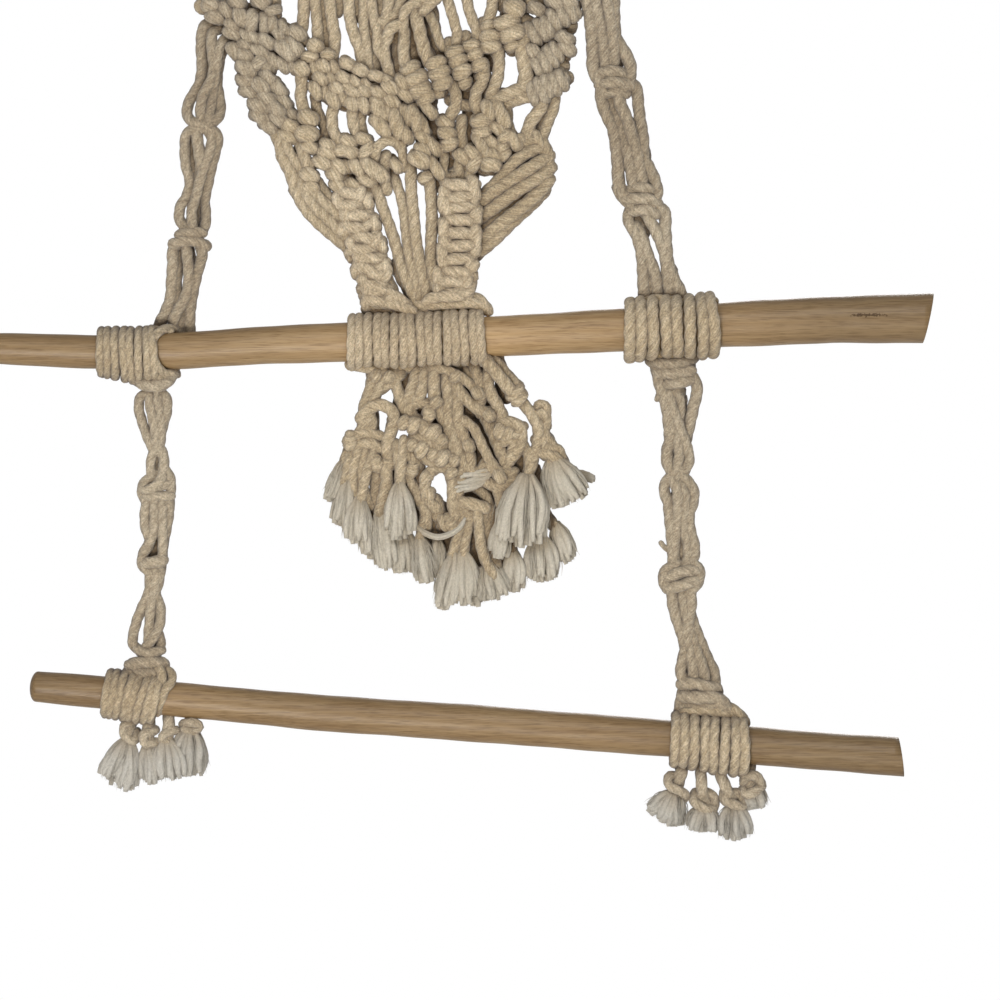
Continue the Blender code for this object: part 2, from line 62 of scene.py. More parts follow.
def board(points):
    """Places in metres for rows of (across, down, out)."""
    across, down, out = np.atleast_2d(np.asarray(points, float)).T
    return np.column_stack(((across - MIDDLE_ACROSS) * STEP, -out * STEP, (TOP_DOWN - down) * STEP))


print("a step is", STEP * 1000, "mm")

# %% [markdown]
# ## The camera
# The hanging is seen straight on from two metres away through a long lens, which keeps the rods from
# bending towards the edges of the view. The view is cut close, so the heading stays just above it.

# %% Camera
VIEW_DISTANCE = 2.0
VIEW_WIDTH = 0.4
VIEW_MIDDLE = (500, 500, 0)
SENSOR = 36.0

camera_data = bpy.data.cameras.new("camera")
camera_data.sensor_width = SENSOR
camera_data.lens = SENSOR * VIEW_DISTANCE / VIEW_WIDTH
camera_data.clip_end = 50
camera = bpy.data.objects.new("camera", camera_data)
bpy.context.scene.collection.objects.link(camera)
view_centre = Vector(board(VIEW_MIDDLE)[0])
camera.location = (view_centre.x, -VIEW_DISTANCE, view_centre.z)
camera.rotation_euler = (math.radians(90), 0, 0)
bpy.context.scene.camera = camera
print("camera at", [round(value, 3) for value in camera.location], "lens", round(camera_data.lens))

# %% [markdown]
# ## Shader groups
# Cord and frayed ends share two effects: fine fibres that run along the yarn, and slow changes of shade
# from handling. Each is a node group, so the materials below set their own values.


# %% Group helpers
def new_group(name, inputs, outputs):
    """An empty shader group with number sockets of the given names."""
    group = bpy.data.node_groups.new(name, "ShaderNodeTree")
    for way, names in (("INPUT", inputs), ("OUTPUT", outputs)):
        for socket_name in names:
            group.interface.new_socket(socket_name, in_out=way, socket_type="NodeSocketFloat")
    entry = group.nodes.new("NodeGroupInput")
    leave = group.nodes.new("NodeGroupOutput")
    return group, entry, leave


def node(tree, kind, inputs=None, **settings):
    """A node with its settings, and its inputs set to values or linked from sockets."""
    made = tree.nodes.new(kind)
    for key, value in settings.items():
        setattr(made, key, value)
    for key, value in (inputs or {}).items():
        if isinstance(value, bpy.types.NodeSocket):
            tree.links.new(value, made.inputs[key])
        else:
            made.inputs[key].default_value = value
    return made


def math_node(tree, operation, first, second=0.0, third=0.0):
    return node(tree, "ShaderNodeMath", {0: first, 1: second, 2: third}, operation=operation).outputs[0]


# %% Yarn group
FIBRE_RING = 0.16
FINE_SHARE, RIDGE_SHARE = 0.8, 0.26


def build_yarn_group():
    """Shade and relief of spun fibres: streaks along U that slant a little round V."""
    group, entry, leave = new_group(
        "yarn_fibres", ("Across", "Along", "Slant", "Strands", "Relief"), ("Streak", "Height"))
    uv = node(group, "ShaderNodeUVMap")
    parts = node(group, "ShaderNodeSeparateXYZ", {0: uv.outputs[0]})
    along = parts.outputs[0]
    around = math_node(group, "ADD", parts.outputs[1],
                       math_node(group, "MULTIPLY", along, entry.outputs["Slant"]))
    turn = math_node(group, "MULTIPLY", around, 2 * math.pi)
    ring = node(group, "ShaderNodeCombineXYZ", {
        0: math_node(group, "MULTIPLY", along, entry.outputs["Along"]),
        1: math_node(group, "MULTIPLY", math_node(group, "COSINE", turn), FIBRE_RING),
        2: math_node(group, "MULTIPLY", math_node(group, "SINE", turn), FIBRE_RING),
    })
    fine = node(group, "ShaderNodeTexNoise", {
        "Vector": ring.outputs[0], "Scale": entry.outputs["Across"], "Detail": 3.0, "Roughness": 0.6})
    lump = node(group, "ShaderNodeTexNoise", {"Vector": ring.outputs[0], "Scale": 9.0, "Detail": 2.0})
    wander = math_node(group, "MULTIPLY", lump.outputs[0], 0.22)
    strand = math_node(group, "MULTIPLY", math_node(group, "ADD", around, wander), entry.outputs["Strands"])
    ridge = math_node(group, "ABSOLUTE",
                      math_node(group, "SINE", math_node(group, "MULTIPLY", strand, math.pi)))
    ridge = math_node(group, "MULTIPLY", math_node(group, "POWER", ridge, 0.6), entry.outputs["Relief"])
    streak = math_node(group, "ADD", math_node(group, "MULTIPLY", fine.outputs[0], FINE_SHARE),
                       math_node(group, "MULTIPLY", ridge, RIDGE_SHARE))
    group.links.new(streak, leave.inputs["Streak"])
    height = math_node(group, "ADD", math_node(group, "MULTIPLY", fine.outputs[0], 0.7), ridge)
    group.links.new(height, leave.inputs["Height"])
    return group


YARN = build_yarn_group()


# %% Handling group
def build_handling_group():
    """Slow shifts of shade over the whole hanging, read from the place of each point."""
    group, entry, leave = new_group("handling", ("Size", "Amount"), ("Shade",))
    place = node(group, "ShaderNodeTexCoord")
    broad = node(group, "ShaderNodeTexNoise", {
        "Vector": place.outputs["Object"], "Scale": entry.outputs["Size"], "Detail": 3.0,
        "Roughness": 0.55})
    centred = math_node(group, "SUBTRACT", broad.outputs[0], 0.5)
    scaled = math_node(group, "MULTIPLY", centred, entry.outputs["Amount"])
    group.links.new(math_node(group, "ADD", scaled, 0.5), leave.inputs["Shade"])
    return group


HANDLING = build_handling_group()
print("groups:", [group.name for group in bpy.data.node_groups])

# %% [markdown]
# ## Cotton cord
# The cord is three plies of spun cotton twisted to the right. Its base is a warm unbleached beige with pale
# and dark fibres along each ply, and painted shade makes it browner where the plies meet. Cotton scatters
# light softly, so the surface is rough with a little sheen and no sharp highlight.


# %% Material helpers
def group_node(tree, group, **inputs):
    made = tree.nodes.new("ShaderNodeGroup")
    made.node_tree = group
    for key, value in inputs.items():
        made.inputs[key].default_value = value
    return made


def ramp(tree, factor, *stops):
    made = node(tree, "ShaderNodeValToRGB", {0: factor})
    elements = made.color_ramp.elements
    for element, (position, colour) in ((elements[0], stops[0]), (elements[1], stops[-1])):
        element.position, element.color = position, (*colour, 1)
    for position, colour in stops[1:-1]:
        elements.new(position).color = (*colour, 1)
    return made.outputs[0]


def mix_colour(tree, factor, first, second, blend="MIX"):
    made = node(tree, "ShaderNodeMix", data_type="RGBA", blend_type=blend)
    for index, value in ((0, factor), (6, first), (7, second)):
        if isinstance(value, bpy.types.NodeSocket):
            tree.links.new(value, made.inputs[index])
        else:
            made.inputs[index].default_value = value
    return made.outputs[2]


def start_material(name):
    material = bpy.data.materials.new(name)
    material.use_nodes = True
    return material, material.node_tree, material.node_tree.nodes["Principled BSDF"]


# %% Cotton
PLIES = 3
GRAIN_SCALE = 1150.0
FIBRE_SHARE, HANDLING_SHARE = 0.55, 0.45
PAINTED_GROOVE_TINT, PAINTED_GROOVE_SHARE = (0.62, 0.56, 0.46), 0.16
PARTWAY_SHARE = 0.34
Spin = namedtuple("Spin", "plies relief across slant strands grit")
TWISTED = Spin(PLIES, 0.0005, 17.0, 0.0, 12.0, 1.05)
LOOSENED = Spin(0, 0.0006, 26.0, 0.02, 0.0, 0.4)


def cotton_material(name, shades, spin, deep, root=None):
    """Cotton in three shades. With plies, it has painted shade in the grooves between them. Painted shade
    darkens its dips to the tint deep; root is the shade that it starts from at the beginning of its map."""
    dark, middle, light = shades
    material, tree, shader = start_material(name)
    fibres = group_node(tree, YARN, Across=spin.across, Along=0.14, Slant=spin.slant, Strands=spin.strands,
                        Relief=1.0 if spin.strands else 0.0)
    handled = group_node(tree, HANDLING, Size=16.0, Amount=1.1)
    tone = math_node(tree, "ADD", math_node(tree, "MULTIPLY", fibres.outputs["Streak"], FIBRE_SHARE),
                     math_node(tree, "MULTIPLY", handled.outputs["Shade"], HANDLING_SHARE))
    colour = ramp(tree, tone, (0.30, dark), (0.50, middle), (0.68, light))
    chart = node(tree, "ShaderNodeUVMap").outputs[0]
    along, around = node(tree, "ShaderNodeSeparateXYZ", {0: chart}).outputs[:2]
    # Painted shade: the grooves between the plies are mixed towards a darker, browner tint.
    if spin.plies:
        wave = math_node(tree, "COSINE", math_node(tree, "MULTIPLY", around, 2 * math.pi * spin.plies))
        groove = math_node(tree, "POWER", math_node(tree, "MULTIPLY_ADD", wave, -0.5, 0.5), 2.0)
        painted_groove_shade = [shade * tint for shade, tint in zip(dark, PAINTED_GROOVE_TINT)]
        colour = mix_colour(tree, math_node(tree, "MULTIPLY", groove, PAINTED_GROOVE_SHARE), colour,
                            (*painted_groove_shade, 1))
    if root:
        near = ramp(tree, math_node(tree, "MULTIPLY", along, 0.5), (0.0, (1, 1, 1)), (1.0, (0, 0, 0)))
        colour = mix_colour(tree, near, colour, (*root, 1))
    speckle = node(tree, "ShaderNodeTexNoise", {
        "Vector": node(tree, "ShaderNodeTexCoord").outputs["Object"], "Scale": GRAIN_SCALE, "Detail": 3.0,
        "Roughness": 0.75})
    grain = math_node(tree, "MULTIPLY_ADD", speckle.outputs[0], 2 * spin.grit, 1 - spin.grit)
    colour = mix_colour(tree, 1.0, colour, grain, blend="MULTIPLY")
    # Painted shade: the deeper a point lies among its neighbours, the more its colour is darkened towards
    # deep; the tops are lightened a little.
    crevice = node(tree, "ShaderNodeAttribute", attribute_name="crevice", attribute_type="GEOMETRY")
    painted_shade_partway = [1 - PARTWAY_SHARE * (1 - value) for value in deep]
    shade = ramp(tree, crevice.outputs["Fac"], (0.0, (1.04, 1.04, 1.04)), (0.3, painted_shade_partway), (0.9, deep))
    colour = mix_colour(tree, 1.0, colour, shade, blend="MULTIPLY")
    tree.links.new(colour, shader.inputs["Base Color"])
    shader.inputs["Roughness"].default_value = 0.92
    shader.inputs["Specular IOR Level"].default_value = 0.25
    shader.inputs["Sheen Weight"].default_value = 0.25
    shader.inputs["Sheen Roughness"].default_value = 0.6
    height = math_node(tree, "MULTIPLY_ADD", speckle.outputs[0], 1.6, fibres.outputs["Height"])
    bump = node(tree, "ShaderNodeBump", {"Height": height, "Strength": 0.6, "Distance": spin.relief})
    tree.links.new(bump.outputs[0], shader.inputs["Normal"])
    return material


CORD_SHADES = ((0.245, 0.177, 0.103), (0.438, 0.34, 0.211), (0.60, 0.495, 0.34))
SIDE_SHADES = ((0.21, 0.159, 0.102), (0.37, 0.294, 0.198), (0.515, 0.434, 0.313))
# A lighter copy of the cord's shades, used for the sinnets and the middle lashing.
LIGHTER_SHADES = ((0.30, 0.222, 0.134), (0.52, 0.412, 0.27), (0.69, 0.582, 0.415))
FRAY_SHADES = ((0.425, 0.378, 0.295), (0.565, 0.518, 0.426), (0.72, 0.674, 0.585))
GREY_SHADES = ((0.35, 0.322, 0.268), (0.46, 0.433, 0.378), (0.585, 0.56, 0.505))
CORD_PAINTED_SHADE, WOUND_PAINTED_SHADE, FRAY_PAINTED_SHADE = (0.30, 0.245, 0.185), (0.66, 0.61, 0.52), (0.79, 0.755, 0.70)
cord_cotton = cotton_material("cotton_cord", CORD_SHADES, TWISTED, CORD_PAINTED_SHADE)
side_cotton = cotton_material("cotton_side_cord", SIDE_SHADES, TWISTED, CORD_PAINTED_SHADE)
lighter_cotton = cotton_material("cotton_clean_cord", LIGHTER_SHADES, TWISTED, CORD_PAINTED_SHADE)
wound_cotton = cotton_material("cotton_wound_cord", CORD_SHADES, TWISTED, WOUND_PAINTED_SHADE)
tight_cotton = cotton_material("cotton_tight_cord", LIGHTER_SHADES, TWISTED, WOUND_PAINTED_SHADE)
frayed_cotton = cotton_material("frayed_cotton", FRAY_SHADES, LOOSENED, FRAY_PAINTED_SHADE, (0.40, 0.325, 0.225))
grey_cotton = cotton_material("frayed_grey_cotton", GREY_SHADES, LOOSENED, FRAY_PAINTED_SHADE, (0.36, 0.295, 0.21))
cottons = (cord_cotton, side_cotton, lighter_cotton, wound_cotton, tight_cotton, frayed_cotton, grey_cotton)
print("materials:", [material.name for material in cottons])

# %% [markdown]
# ## Twisted cord from a curve
# A cord's form is its section swept along its route. The section has three rounded plies, and the route's
# tilt turns it steadily, so the plies wind round the cord as real ones do. A bevelled curve does both at
# once, and it is far quicker than modelling the plies one by one. The mesh that comes out keeps a map with
# U along the cord in cord widths and V round it, which the cotton's fibres follow.

# %% Cord sections
PLY_SIDES = 4
PLY_DEPTH = 0.11
TAUT_DEPTH = 0.15


def section(name, sides, ply_depth=0.0):
    """A closed outline of radius 1 that dips between its plies, clockwise so that the cord faces out."""
    data = bpy.data.curves.new(name, "CURVE")
    data.dimensions = "2D"
    spline = data.splines.new("POLY")
    spline.points.add(sides - 1)
    spline.use_cyclic_u = True
    for index, point in enumerate(spline.points):
        angle = -2 * math.pi * index / sides
        dip = abs(math.sin(PLIES * angle / 2)) ** 3
        radius = 1 - ply_depth * dip
        point.co = (radius * math.cos(angle), radius * math.sin(angle), 0, 1)
    made = bpy.data.objects.new(name, data)
    bpy.context.scene.collection.objects.link(made)
    return made


cord_section = section("cord_section", PLIES * PLY_SIDES, ply_depth=PLY_DEPTH)
taut_section = section("taut_section", PLIES * PLY_SIDES, ply_depth=TAUT_DEPTH)
round_section = section("round_section", 8)
fibre_section = section("fibre_section", 3)
print("cord section has", PLIES * PLY_SIDES, "sides")

# %% Routes
Route = namedtuple("Route", "points radius shares tilt")
CORD = 12.4
EVEN = (1.0, 1.0)
CURVE_SAMPLES = 10
SHORTEST_GAP = 1e-9
chance = random.Random(11)


def smooth(points, spacing):
    """Even places along a smooth curve through the given points, and how far along each one lies."""
    given = np.asarray(points, float)
    given = np.vstack((2 * given[0] - given[1], given, 2 * given[-1] - given[-2]))
    gaps = np.maximum(np.linalg.norm(np.diff(given, axis=0), axis=1), SHORTEST_GAP)
    when = np.concatenate(([0], np.cumsum(np.sqrt(gaps))))
    pieces = []
    for index in range(1, len(given) - 2):
        a, b, c, d = given[index - 1:index + 3]
        ta, tb, tc, td = when[index - 1:index + 3]
        t = np.linspace(tb, tc, CURVE_SAMPLES, endpoint=False)[:, None]
        ab = (tb - t) / (tb - ta) * a + (t - ta) / (tb - ta) * b
        bc = (tc - t) / (tc - tb) * b + (t - tb) / (tc - tb) * c
        cd = (td - t) / (td - tc) * c + (t - tc) / (td - tc) * d
        abc = (tc - t) / (tc - ta) * ab + (t - ta) / (tc - ta) * bc
        bcd = (td - t) / (td - tb) * bc + (t - tb) / (td - tb) * cd
        pieces.append((tc - t) / (tc - tb) * abc + (t - tb) / (tc - tb) * bcd)
    fine = np.vstack(pieces + [given[-2:-1]])
    run = np.concatenate(([0], np.cumsum(np.linalg.norm(np.diff(fine, axis=0), axis=1))))
    count = max(2, int(round(run[-1] / spacing)) + 1)
    even = np.linspace(0, run[-1], count)
    return np.column_stack([np.interp(even, run, fine[:, axis]) for axis in range(3)]), even


def cord(points, thickness=CORD):
    """One cord's route over board points, its plies starting from any side."""
    return Route(points, thickness / 2, EVEN, chance.uniform(0, 2 * math.pi))


def cords(rows, fullness=1.0):
    """Routes for rows of (points, thickness), each made a little fuller."""
    return [cord(points, thickness * fullness) for points, thickness in rows]


# %% Cord meshes
LAY = 40 * STEP
TAUT_LAY = 44 * STEP
CORD_SPACING = 2.8 * STEP
UNEVEN = 0.035
SHORT_WAVE, LONG_WAVE = 11 * STEP, 17 * STEP
END_ANGLES = np.radians((35, 62, 82))
WELD = 1e-7


def rounded(places, run, radius):
    """The same stations with both ends rounded off, as a cord's bound end is."""
    for _ in range(2):
        places, run, radius = places[::-1], run[::-1], radius[::-1]
        outward = (places[-1] - places[-2]) / np.linalg.norm(places[-1] - places[-2])
        way = 1 if run[-1] > run[-2] else -1
        reach = radius[-1] * np.sin(END_ANGLES)
        places = np.vstack((places, places[-1] + outward * reach[:, None]))
        run = np.concatenate((run, run[-1] + way * reach))
        radius = np.concatenate((radius, radius[-1] * np.cos(END_ANGLES)))
    return places, run - run[0], radius


def swept_curve(name, outline):
    """An empty curve whose splines are swept with the outline and capped."""
    data = bpy.data.curves.new(name, "CURVE")
    data.dimensions = "3D"
    data.bevel_mode = "OBJECT"
    data.bevel_object = outline
    data.use_fill_caps = True
    return data


def add_spline(data, places, radius, tilt=0.0):
    count = len(places)
    spline = data.splines.new("POLY")
    spline.points.add(count - 1)
    spline.points.foreach_set("co", np.column_stack((places, np.ones(count))).ravel())
    spline.points.foreach_set("radius", radius)
    spline.points.foreach_set("tilt", np.zeros(count) + tilt)


def mesh_of(name, data):
    """The curve's surface as a mesh. The curve itself isn't kept in the scene."""
    swept = bpy.data.objects.new(name + "_curve", data)
    bpy.context.scene.collection.objects.link(swept)
    graph = bpy.context.evaluated_depsgraph_get()
    mesh = bpy.data.meshes.new_from_object(swept.evaluated_get(graph))
    bpy.data.objects.remove(swept, do_unlink=True)
    mesh.name = name
    return mesh


def welded(mesh):
    """An editable copy of the mesh with its caps joined on."""
    made = bmesh.new()
    made.from_mesh(mesh)
    bmesh.ops.remove_doubles(made, verts=made.verts, dist=WELD)
    return made


def sweep(name, routes, outline, spacing=CORD_SPACING, lay=LAY, round_ends=False):
    """One mesh of all the routes, each swept with the outline, its caps joined on and its map to scale."""
    data = swept_curve(name, outline)
    sides = len(outline.data.splines[0].points)
    scales = []
    for route in routes:
        places, run = smooth(board(route.points), spacing)
        shares = np.interp(run / run[-1], np.linspace(0, 1, len(route.shares)), route.shares)
        wander = np.sin(run / SHORT_WAVE + route.tilt) * np.cos(run / LONG_WAVE + 2 * route.tilt)
        radius = route.radius * shares * STEP * (1 + UNEVEN * wander)
        if round_ends:
            places, run, radius = rounded(places, run, radius)
        add_spline(data, places, radius, route.tilt + 2 * math.pi * run / lay)
        scales.append(((len(places) - 1) * sides, run[-1] / (CORD * STEP)))
    mesh = mesh_of(name, data)
    scale_map(mesh, scales)
    made = welded(mesh)
    made.to_mesh(mesh)
    made.free()
    mesh.shade_smooth()
    return mesh


def scale_map(mesh, scales):
    """Stretches U from 0 to 1 into cord widths. The caps come first, then each cord's sides in turn."""
    layer = mesh.uv_layers[0].data
    flat = np.empty(len(layer) * 2, np.float32)
    layer.foreach_get("uv", flat)
    flat = flat.reshape(-1, 2)
    side_loops = 4 * sum(faces for faces, _ in scales)
    start = len(flat) - side_loops
    for faces, length in scales:
        flat[start:start + 4 * faces, 0] *= length
        start += 4 * faces
    layer.foreach_set("uv", flat.ravel())


def dress(name, mesh, material, nodes):
    """Puts a mesh in the scene as a piece that rides on the hanging and stands for the given nodes."""
    piece = bpy.data.objects.new(name, mesh)
    bpy.context.scene.collection.objects.link(piece)
    mesh.materials.clear()
    mesh.materials.append(material)
    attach(piece, "root")
    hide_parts(*nodes)
    triangles = sum(len(face.vertices) - 2 for face in mesh.polygons)
    print(name, triangles, "triangles")


# %% [markdown]
# ## Knots
# Every knot here is one of three: the square knot, the row of half hitches round a carried cord, and the
# overhand knot that ties off an end. The square and the overhand knot are drawn once as the real paths of
# their cords on a unit grid, then scaled and turned into place. Half hitches are wound where they lie.


# %% Square knot
def turned(shape, across, down, lean, wide, tall, deep, out=0.0):
    """Unit points moved into place: u to the right, v down and w out, leaning by an angle in degrees."""
    angle = math.radians(lean)
    placed = []
    for u, v, w in shape:
        u, v = u * wide, v * tall
        placed.append((
            across + u * math.cos(angle) + v * math.sin(angle),
            down - u * math.sin(angle) + v * math.cos(angle),
            out + w * deep,
        ))
    return placed


FRONT_CORD = [
    (-0.72, -1.1, 0.0), (-0.95, -0.72, 0.3), (-0.5, -0.5, 1.0), (0.1, -0.46, 1.25), (0.7, -0.34, 0.9),
    (1.0, 0.0, 0.1), (0.7, 0.34, 0.9), (0.1, 0.46, 1.25), (-0.5, 0.5, 1.0), (-0.95, 0.72, 0.3),
    (-0.72, 1.1, 0.0),
]
BACK_CORD = [
    (0.72, -1.1, 0.0), (1.0, -0.7, 0.9), (0.95, -0.35, 1.15), (0.6, -0.05, 0.0), (0.0, 0.0, -1.0),
    (-0.7, -0.1, -0.5), (-1.02, -0.12, 0.5), (-0.98, 0.15, 1.1), (-0.6, 0.3, 0.0), (0.0, 0.4, -1.0),
    (0.8, 0.45, -0.3), (1.02, 0.7, 0.8), (0.72, 1.1, 0.0),
]
CORE_CORDS = [[(side, -1.15, 0.0), (side, 0.0, -0.1), (side, 1.15, 0.0)] for side in (-0.3, 0.3)]
KNOT_RELIEF = 0.62


def square_knot(across, down, lean, wide, tall, mirror, thickness):
    """A square knot: one cord passes twice in front of the core, the other twice behind it."""
    side = -1 if mirror else 1
    reach = (wide - thickness) / 2
    routes = []
    for shape in (FRONT_CORD, BACK_CORD, *CORE_CORDS):
        shape = [(side * u, v, w) for u, v, w in shape]
        placed = turned(shape, across, down, lean, reach, tall / 2, thickness * KNOT_RELIEF)
        routes.append(cord(placed, thickness))
    return routes


# %% Hitched bar
BAR_STATIONS = 10
BAR_UNEVEN = 0.07


def hitched_bar(across, down, to_across, to_down, wide, turns, slant):
    """A row of half hitches: a cord wound a little unevenly round a carried one, from end to end."""
    start, end = np.array([across, down, 0], float), np.array([to_across, to_down, 0], float)
    pitch = (end - start) / turns
    along = pitch / np.linalg.norm(pitch)
    sideways, outward = np.array([-along[1], along[0], 0]), np.array([0, 0, 1])
    reach = (wide - CORD) / 2
    points = []
    for index in range(turns * BAR_STATIONS + 1):
        turn = index / BAR_STATIONS
        angle = 2 * math.pi * turn
        jitter = 1 + BAR_UNEVEN * math.sin(angle * 0.37 + across)
        place = start + pitch * turn + along * slant * math.cos(angle)
        points.append(place + reach * (sideways * jitter * math.cos(angle) + outward * math.sin(angle)))
    core = [start - along * 2, (start + end) / 2, end + along * 2]
    return [cord(points), cord(core)]


# %% Overhand knot
OVERHAND_CORD = CORD * 0.9
OVERHAND_STATIONS = 19
OVERHAND_GIRTH = 0.92


def overhand_shape():
    """The knot's cord on the unit grid: in at the top, one and a half turns round itself, and out below."""
    points = [(0.1, -0.7, -0.1)]
    for index in range(OVERHAND_STATIONS):
        angle = math.radians(-40 + index * 30)
        fall = -0.42 + 0.85 * index / (OVERHAND_STATIONS - 1)
        points.append((OVERHAND_GIRTH * math.cos(angle), fall + 0.25 * math.sin(angle),
                       OVERHAND_GIRTH * math.sin(angle)))
    return points + [(0.0, 0.2, 0.0), (-0.05, 0.7, 0.0)]


OVERHAND_SHAPES = (overhand_shape(), [(0, -0.6, 0), (0, 0.6, 0)])


def overhand(across, down, size, lean, out):
    """A tight overhand knot round its own core."""
    reach = max(size - OVERHAND_CORD, OVERHAND_CORD * 0.5) / 2
    return [cord(turned(shape, across, down, lean, reach, size / 2, reach, out), OVERHAND_CORD)
            for shape in OVERHAND_SHAPES]


print("three kinds of knot are ready")

# %% [markdown]
# ## The panel's hitches
# A border is made of half hitches: each cord in turn winds twice round a carried cord, and pulled tight it
# shows as a pair of short, slanting lumps. The panel's edges, its two slanting rows, its short coils and
# the knots that gather the middle are all made this way. Each lump is one loop of cord round whatever it
# holds, so it is drawn as a loop: the row gives the two ends that show, the cord's width and how far out
# the loop stands. Carried cords lie behind them.

# %% Where the hitches are
# The heading's two ends, its width, its turns and their slant. The other rows hold an end, the other end,
# the cord's width, and how far out it stands.
HEADING = (199, -46, 603, -46, 24, 34, 2)
LEFT_SHOULDER = [
    (201, 3, 221, 7, 14, 1), (206, 12, 225, 21, 14, 0), (220, 2, 234, 20, 11, 3), (229, -3, 246, 8, 13, 4),
    (236, 8, 247, 28, 14, 5), (226, 18, 240, 34, 11, 3), (224, 28, 242, 38, 12, 2),
    (241, 29, 253, 44, 9, 5), (248, 29, 261, 45, 9, 5), (239, 40, 252, 50, 11, 3),
    (254, 10, 251, 34, 13, 6), (252, -3, 271, 6, 14, 4), (264, 12, 265, 36, 9, 5), (265, 12, 282, 9, 10, 6),
    (272, 12, 274, 36, 11, 2), (280, 20, 290, 38, 8, 4), (273, 26, 285, 44, 10, 3),
    (258, 34, 275, 48, 12, 5), (276, 40, 296, 61, 14, 4), (284, 37, 303, 56, 13, 3),
    (289, 27, 306, 40, 14, 2), (229, 42, 241, 60, 13, 0), (237, 49, 254, 62, 13, 3),
    (249, 45, 270, 57, 12, 3), (251, 71, 266, 55, 12, 4), (238, 60, 256, 78, 15, 3),
    (269, 52, 278, 69, 10, 2), (277, 56, 288, 73, 10, 2), (288, 60, 297, 74, 10, 1),
    (260, 60, 274, 74, 13, 0), (237, 75, 256, 87, 14, 2), (253, 78, 270, 94, 14, 5),
    (262, 69, 275, 86, 12, 4), (270, 78, 286, 98, 13, 1), (240, 86, 262, 98, 13, 1),
    (257, 92, 278, 104, 13, 4), (275, 92, 291, 110, 13, 0), (249, 99, 270, 113, 14, 3),
    (267, 100, 285, 118, 13, 5), (251, 109, 272, 125, 14, 1), (269, 112, 288, 126, 13, 3),
    (284, 108, 299, 121, 12, -2), (259, 118, 279, 134, 13, 0),
]
SLANTING_ROWS = [
    (309, 43, 323, 49, 14, 4), (301, 58, 319, 56, 11, 3), (321, 56, 335, 54, 12, 4),
    (296, 63, 308, 75, 14, 5), (312, 61, 319, 76, 9, 3), (319, 60, 330, 73, 12, 5),
    (331, 60, 339, 76, 9, 3), (340, 60, 355, 68, 12, 5), (353, 66, 369, 75, 12, 5),
    (315, 72, 328, 85, 12, 5), (327, 71, 337, 86, 9, 3), (337, 72, 351, 84, 12, 5),
    (349, 76, 362, 88, 11, 4), (362, 78, 372, 92, 9, 3), (367, 73, 386, 80, 11, 3),
    (312, 81, 321, 100, 12, 4), (323, 83, 329, 101, 9, 2), (331, 83, 344, 94, 12, 5),
    (343, 81, 354, 94, 10, 4), (329, 90, 338, 109, 12, 4), (339, 90, 348, 106, 9, 3),
    (346, 88, 362, 97, 11, 5), (349, 96, 356, 112, 12, 5), (358, 85, 372, 97, 11, 4),
    (360, 96, 368, 114, 12, 5), (371, 87, 386, 99, 11, 5), (370, 98, 387, 109, 12, 4),
    (383, 82, 399, 94, 13, 5), (385, 94, 400, 109, 12, 4), (396, 76, 410, 90, 13, 4),
    (398, 90, 414, 101, 12, 4), (382, 76, 394, 86, 11, 3),
]
COILS = [
    # the coils at the upper right, from left to right
    (401, 74, 420, 64, 14, 3), (404, 85, 428, 74, 15, 6), (410, 95, 431, 85, 14, 7),
    (417, 103, 435, 93, 13, 5), (426, 66, 446, 61, 13, 7), (429, 77, 450, 70, 14, 8),
    (433, 87, 452, 80, 14, 8), (434, 96, 444, 88, 11, 4), (446, 55, 464, 50, 12, 5),
    (449, 65, 467, 58, 13, 6), (453, 76, 471, 68, 14, 7), (459, 86, 471, 79, 12, 4),
    (463, 48, 480, 43, 11, 4), (467, 58, 483, 51, 12, 5), (471, 69, 487, 61, 12, 5),
    (476, 78, 488, 72, 10, 3), (479, 37, 501, 36, 13, 4), (480, 46, 502, 47, 13, 4),
    (481, 28, 495, 24, 11, 3), (504, 5, 525, 12, 17, 6), (493, 27, 520, 19, 15, 5),
    (499, 38, 525, 30, 15, 6), (505, 49, 520, 41, 12, 3),
]
RIGHT_BORDER = [
    (526, 22, 540, 46, 11, 3), (535, 19, 549, 41, 10, 5), (543, 16, 553, 38, 10, 6),
    (549, 9, 560, 31, 11, 6), (557, 5, 568, 27, 11, 5), (565, 1, 576, 22, 11, 4), (571, 4, 580, 18, 10, 2),
    (528, 4, 546, 14, 12, 2), (546, -4, 566, 8, 14, 5), (560, -5, 577, 8, 13, 4), (527, 44, 538, 58, 13, 4),
    (531, 55, 543, 77, 10, 4), (539, 51, 550, 74, 10, 6), (545, 46, 557, 68, 10, 6),
    (551, 42, 562, 62, 10, 5), (559, 42, 575, 55, 13, 5), (556, 33, 574, 44, 12, 6),
    (529, 80, 537, 106, 11, 4), (536, 77, 547, 104, 11, 5), (543, 74, 552, 98, 10, 6),
    (549, 72, 559, 96, 11, 5), (556, 69, 566, 91, 11, 4), (562, 72, 568, 84, 9, 1),
]
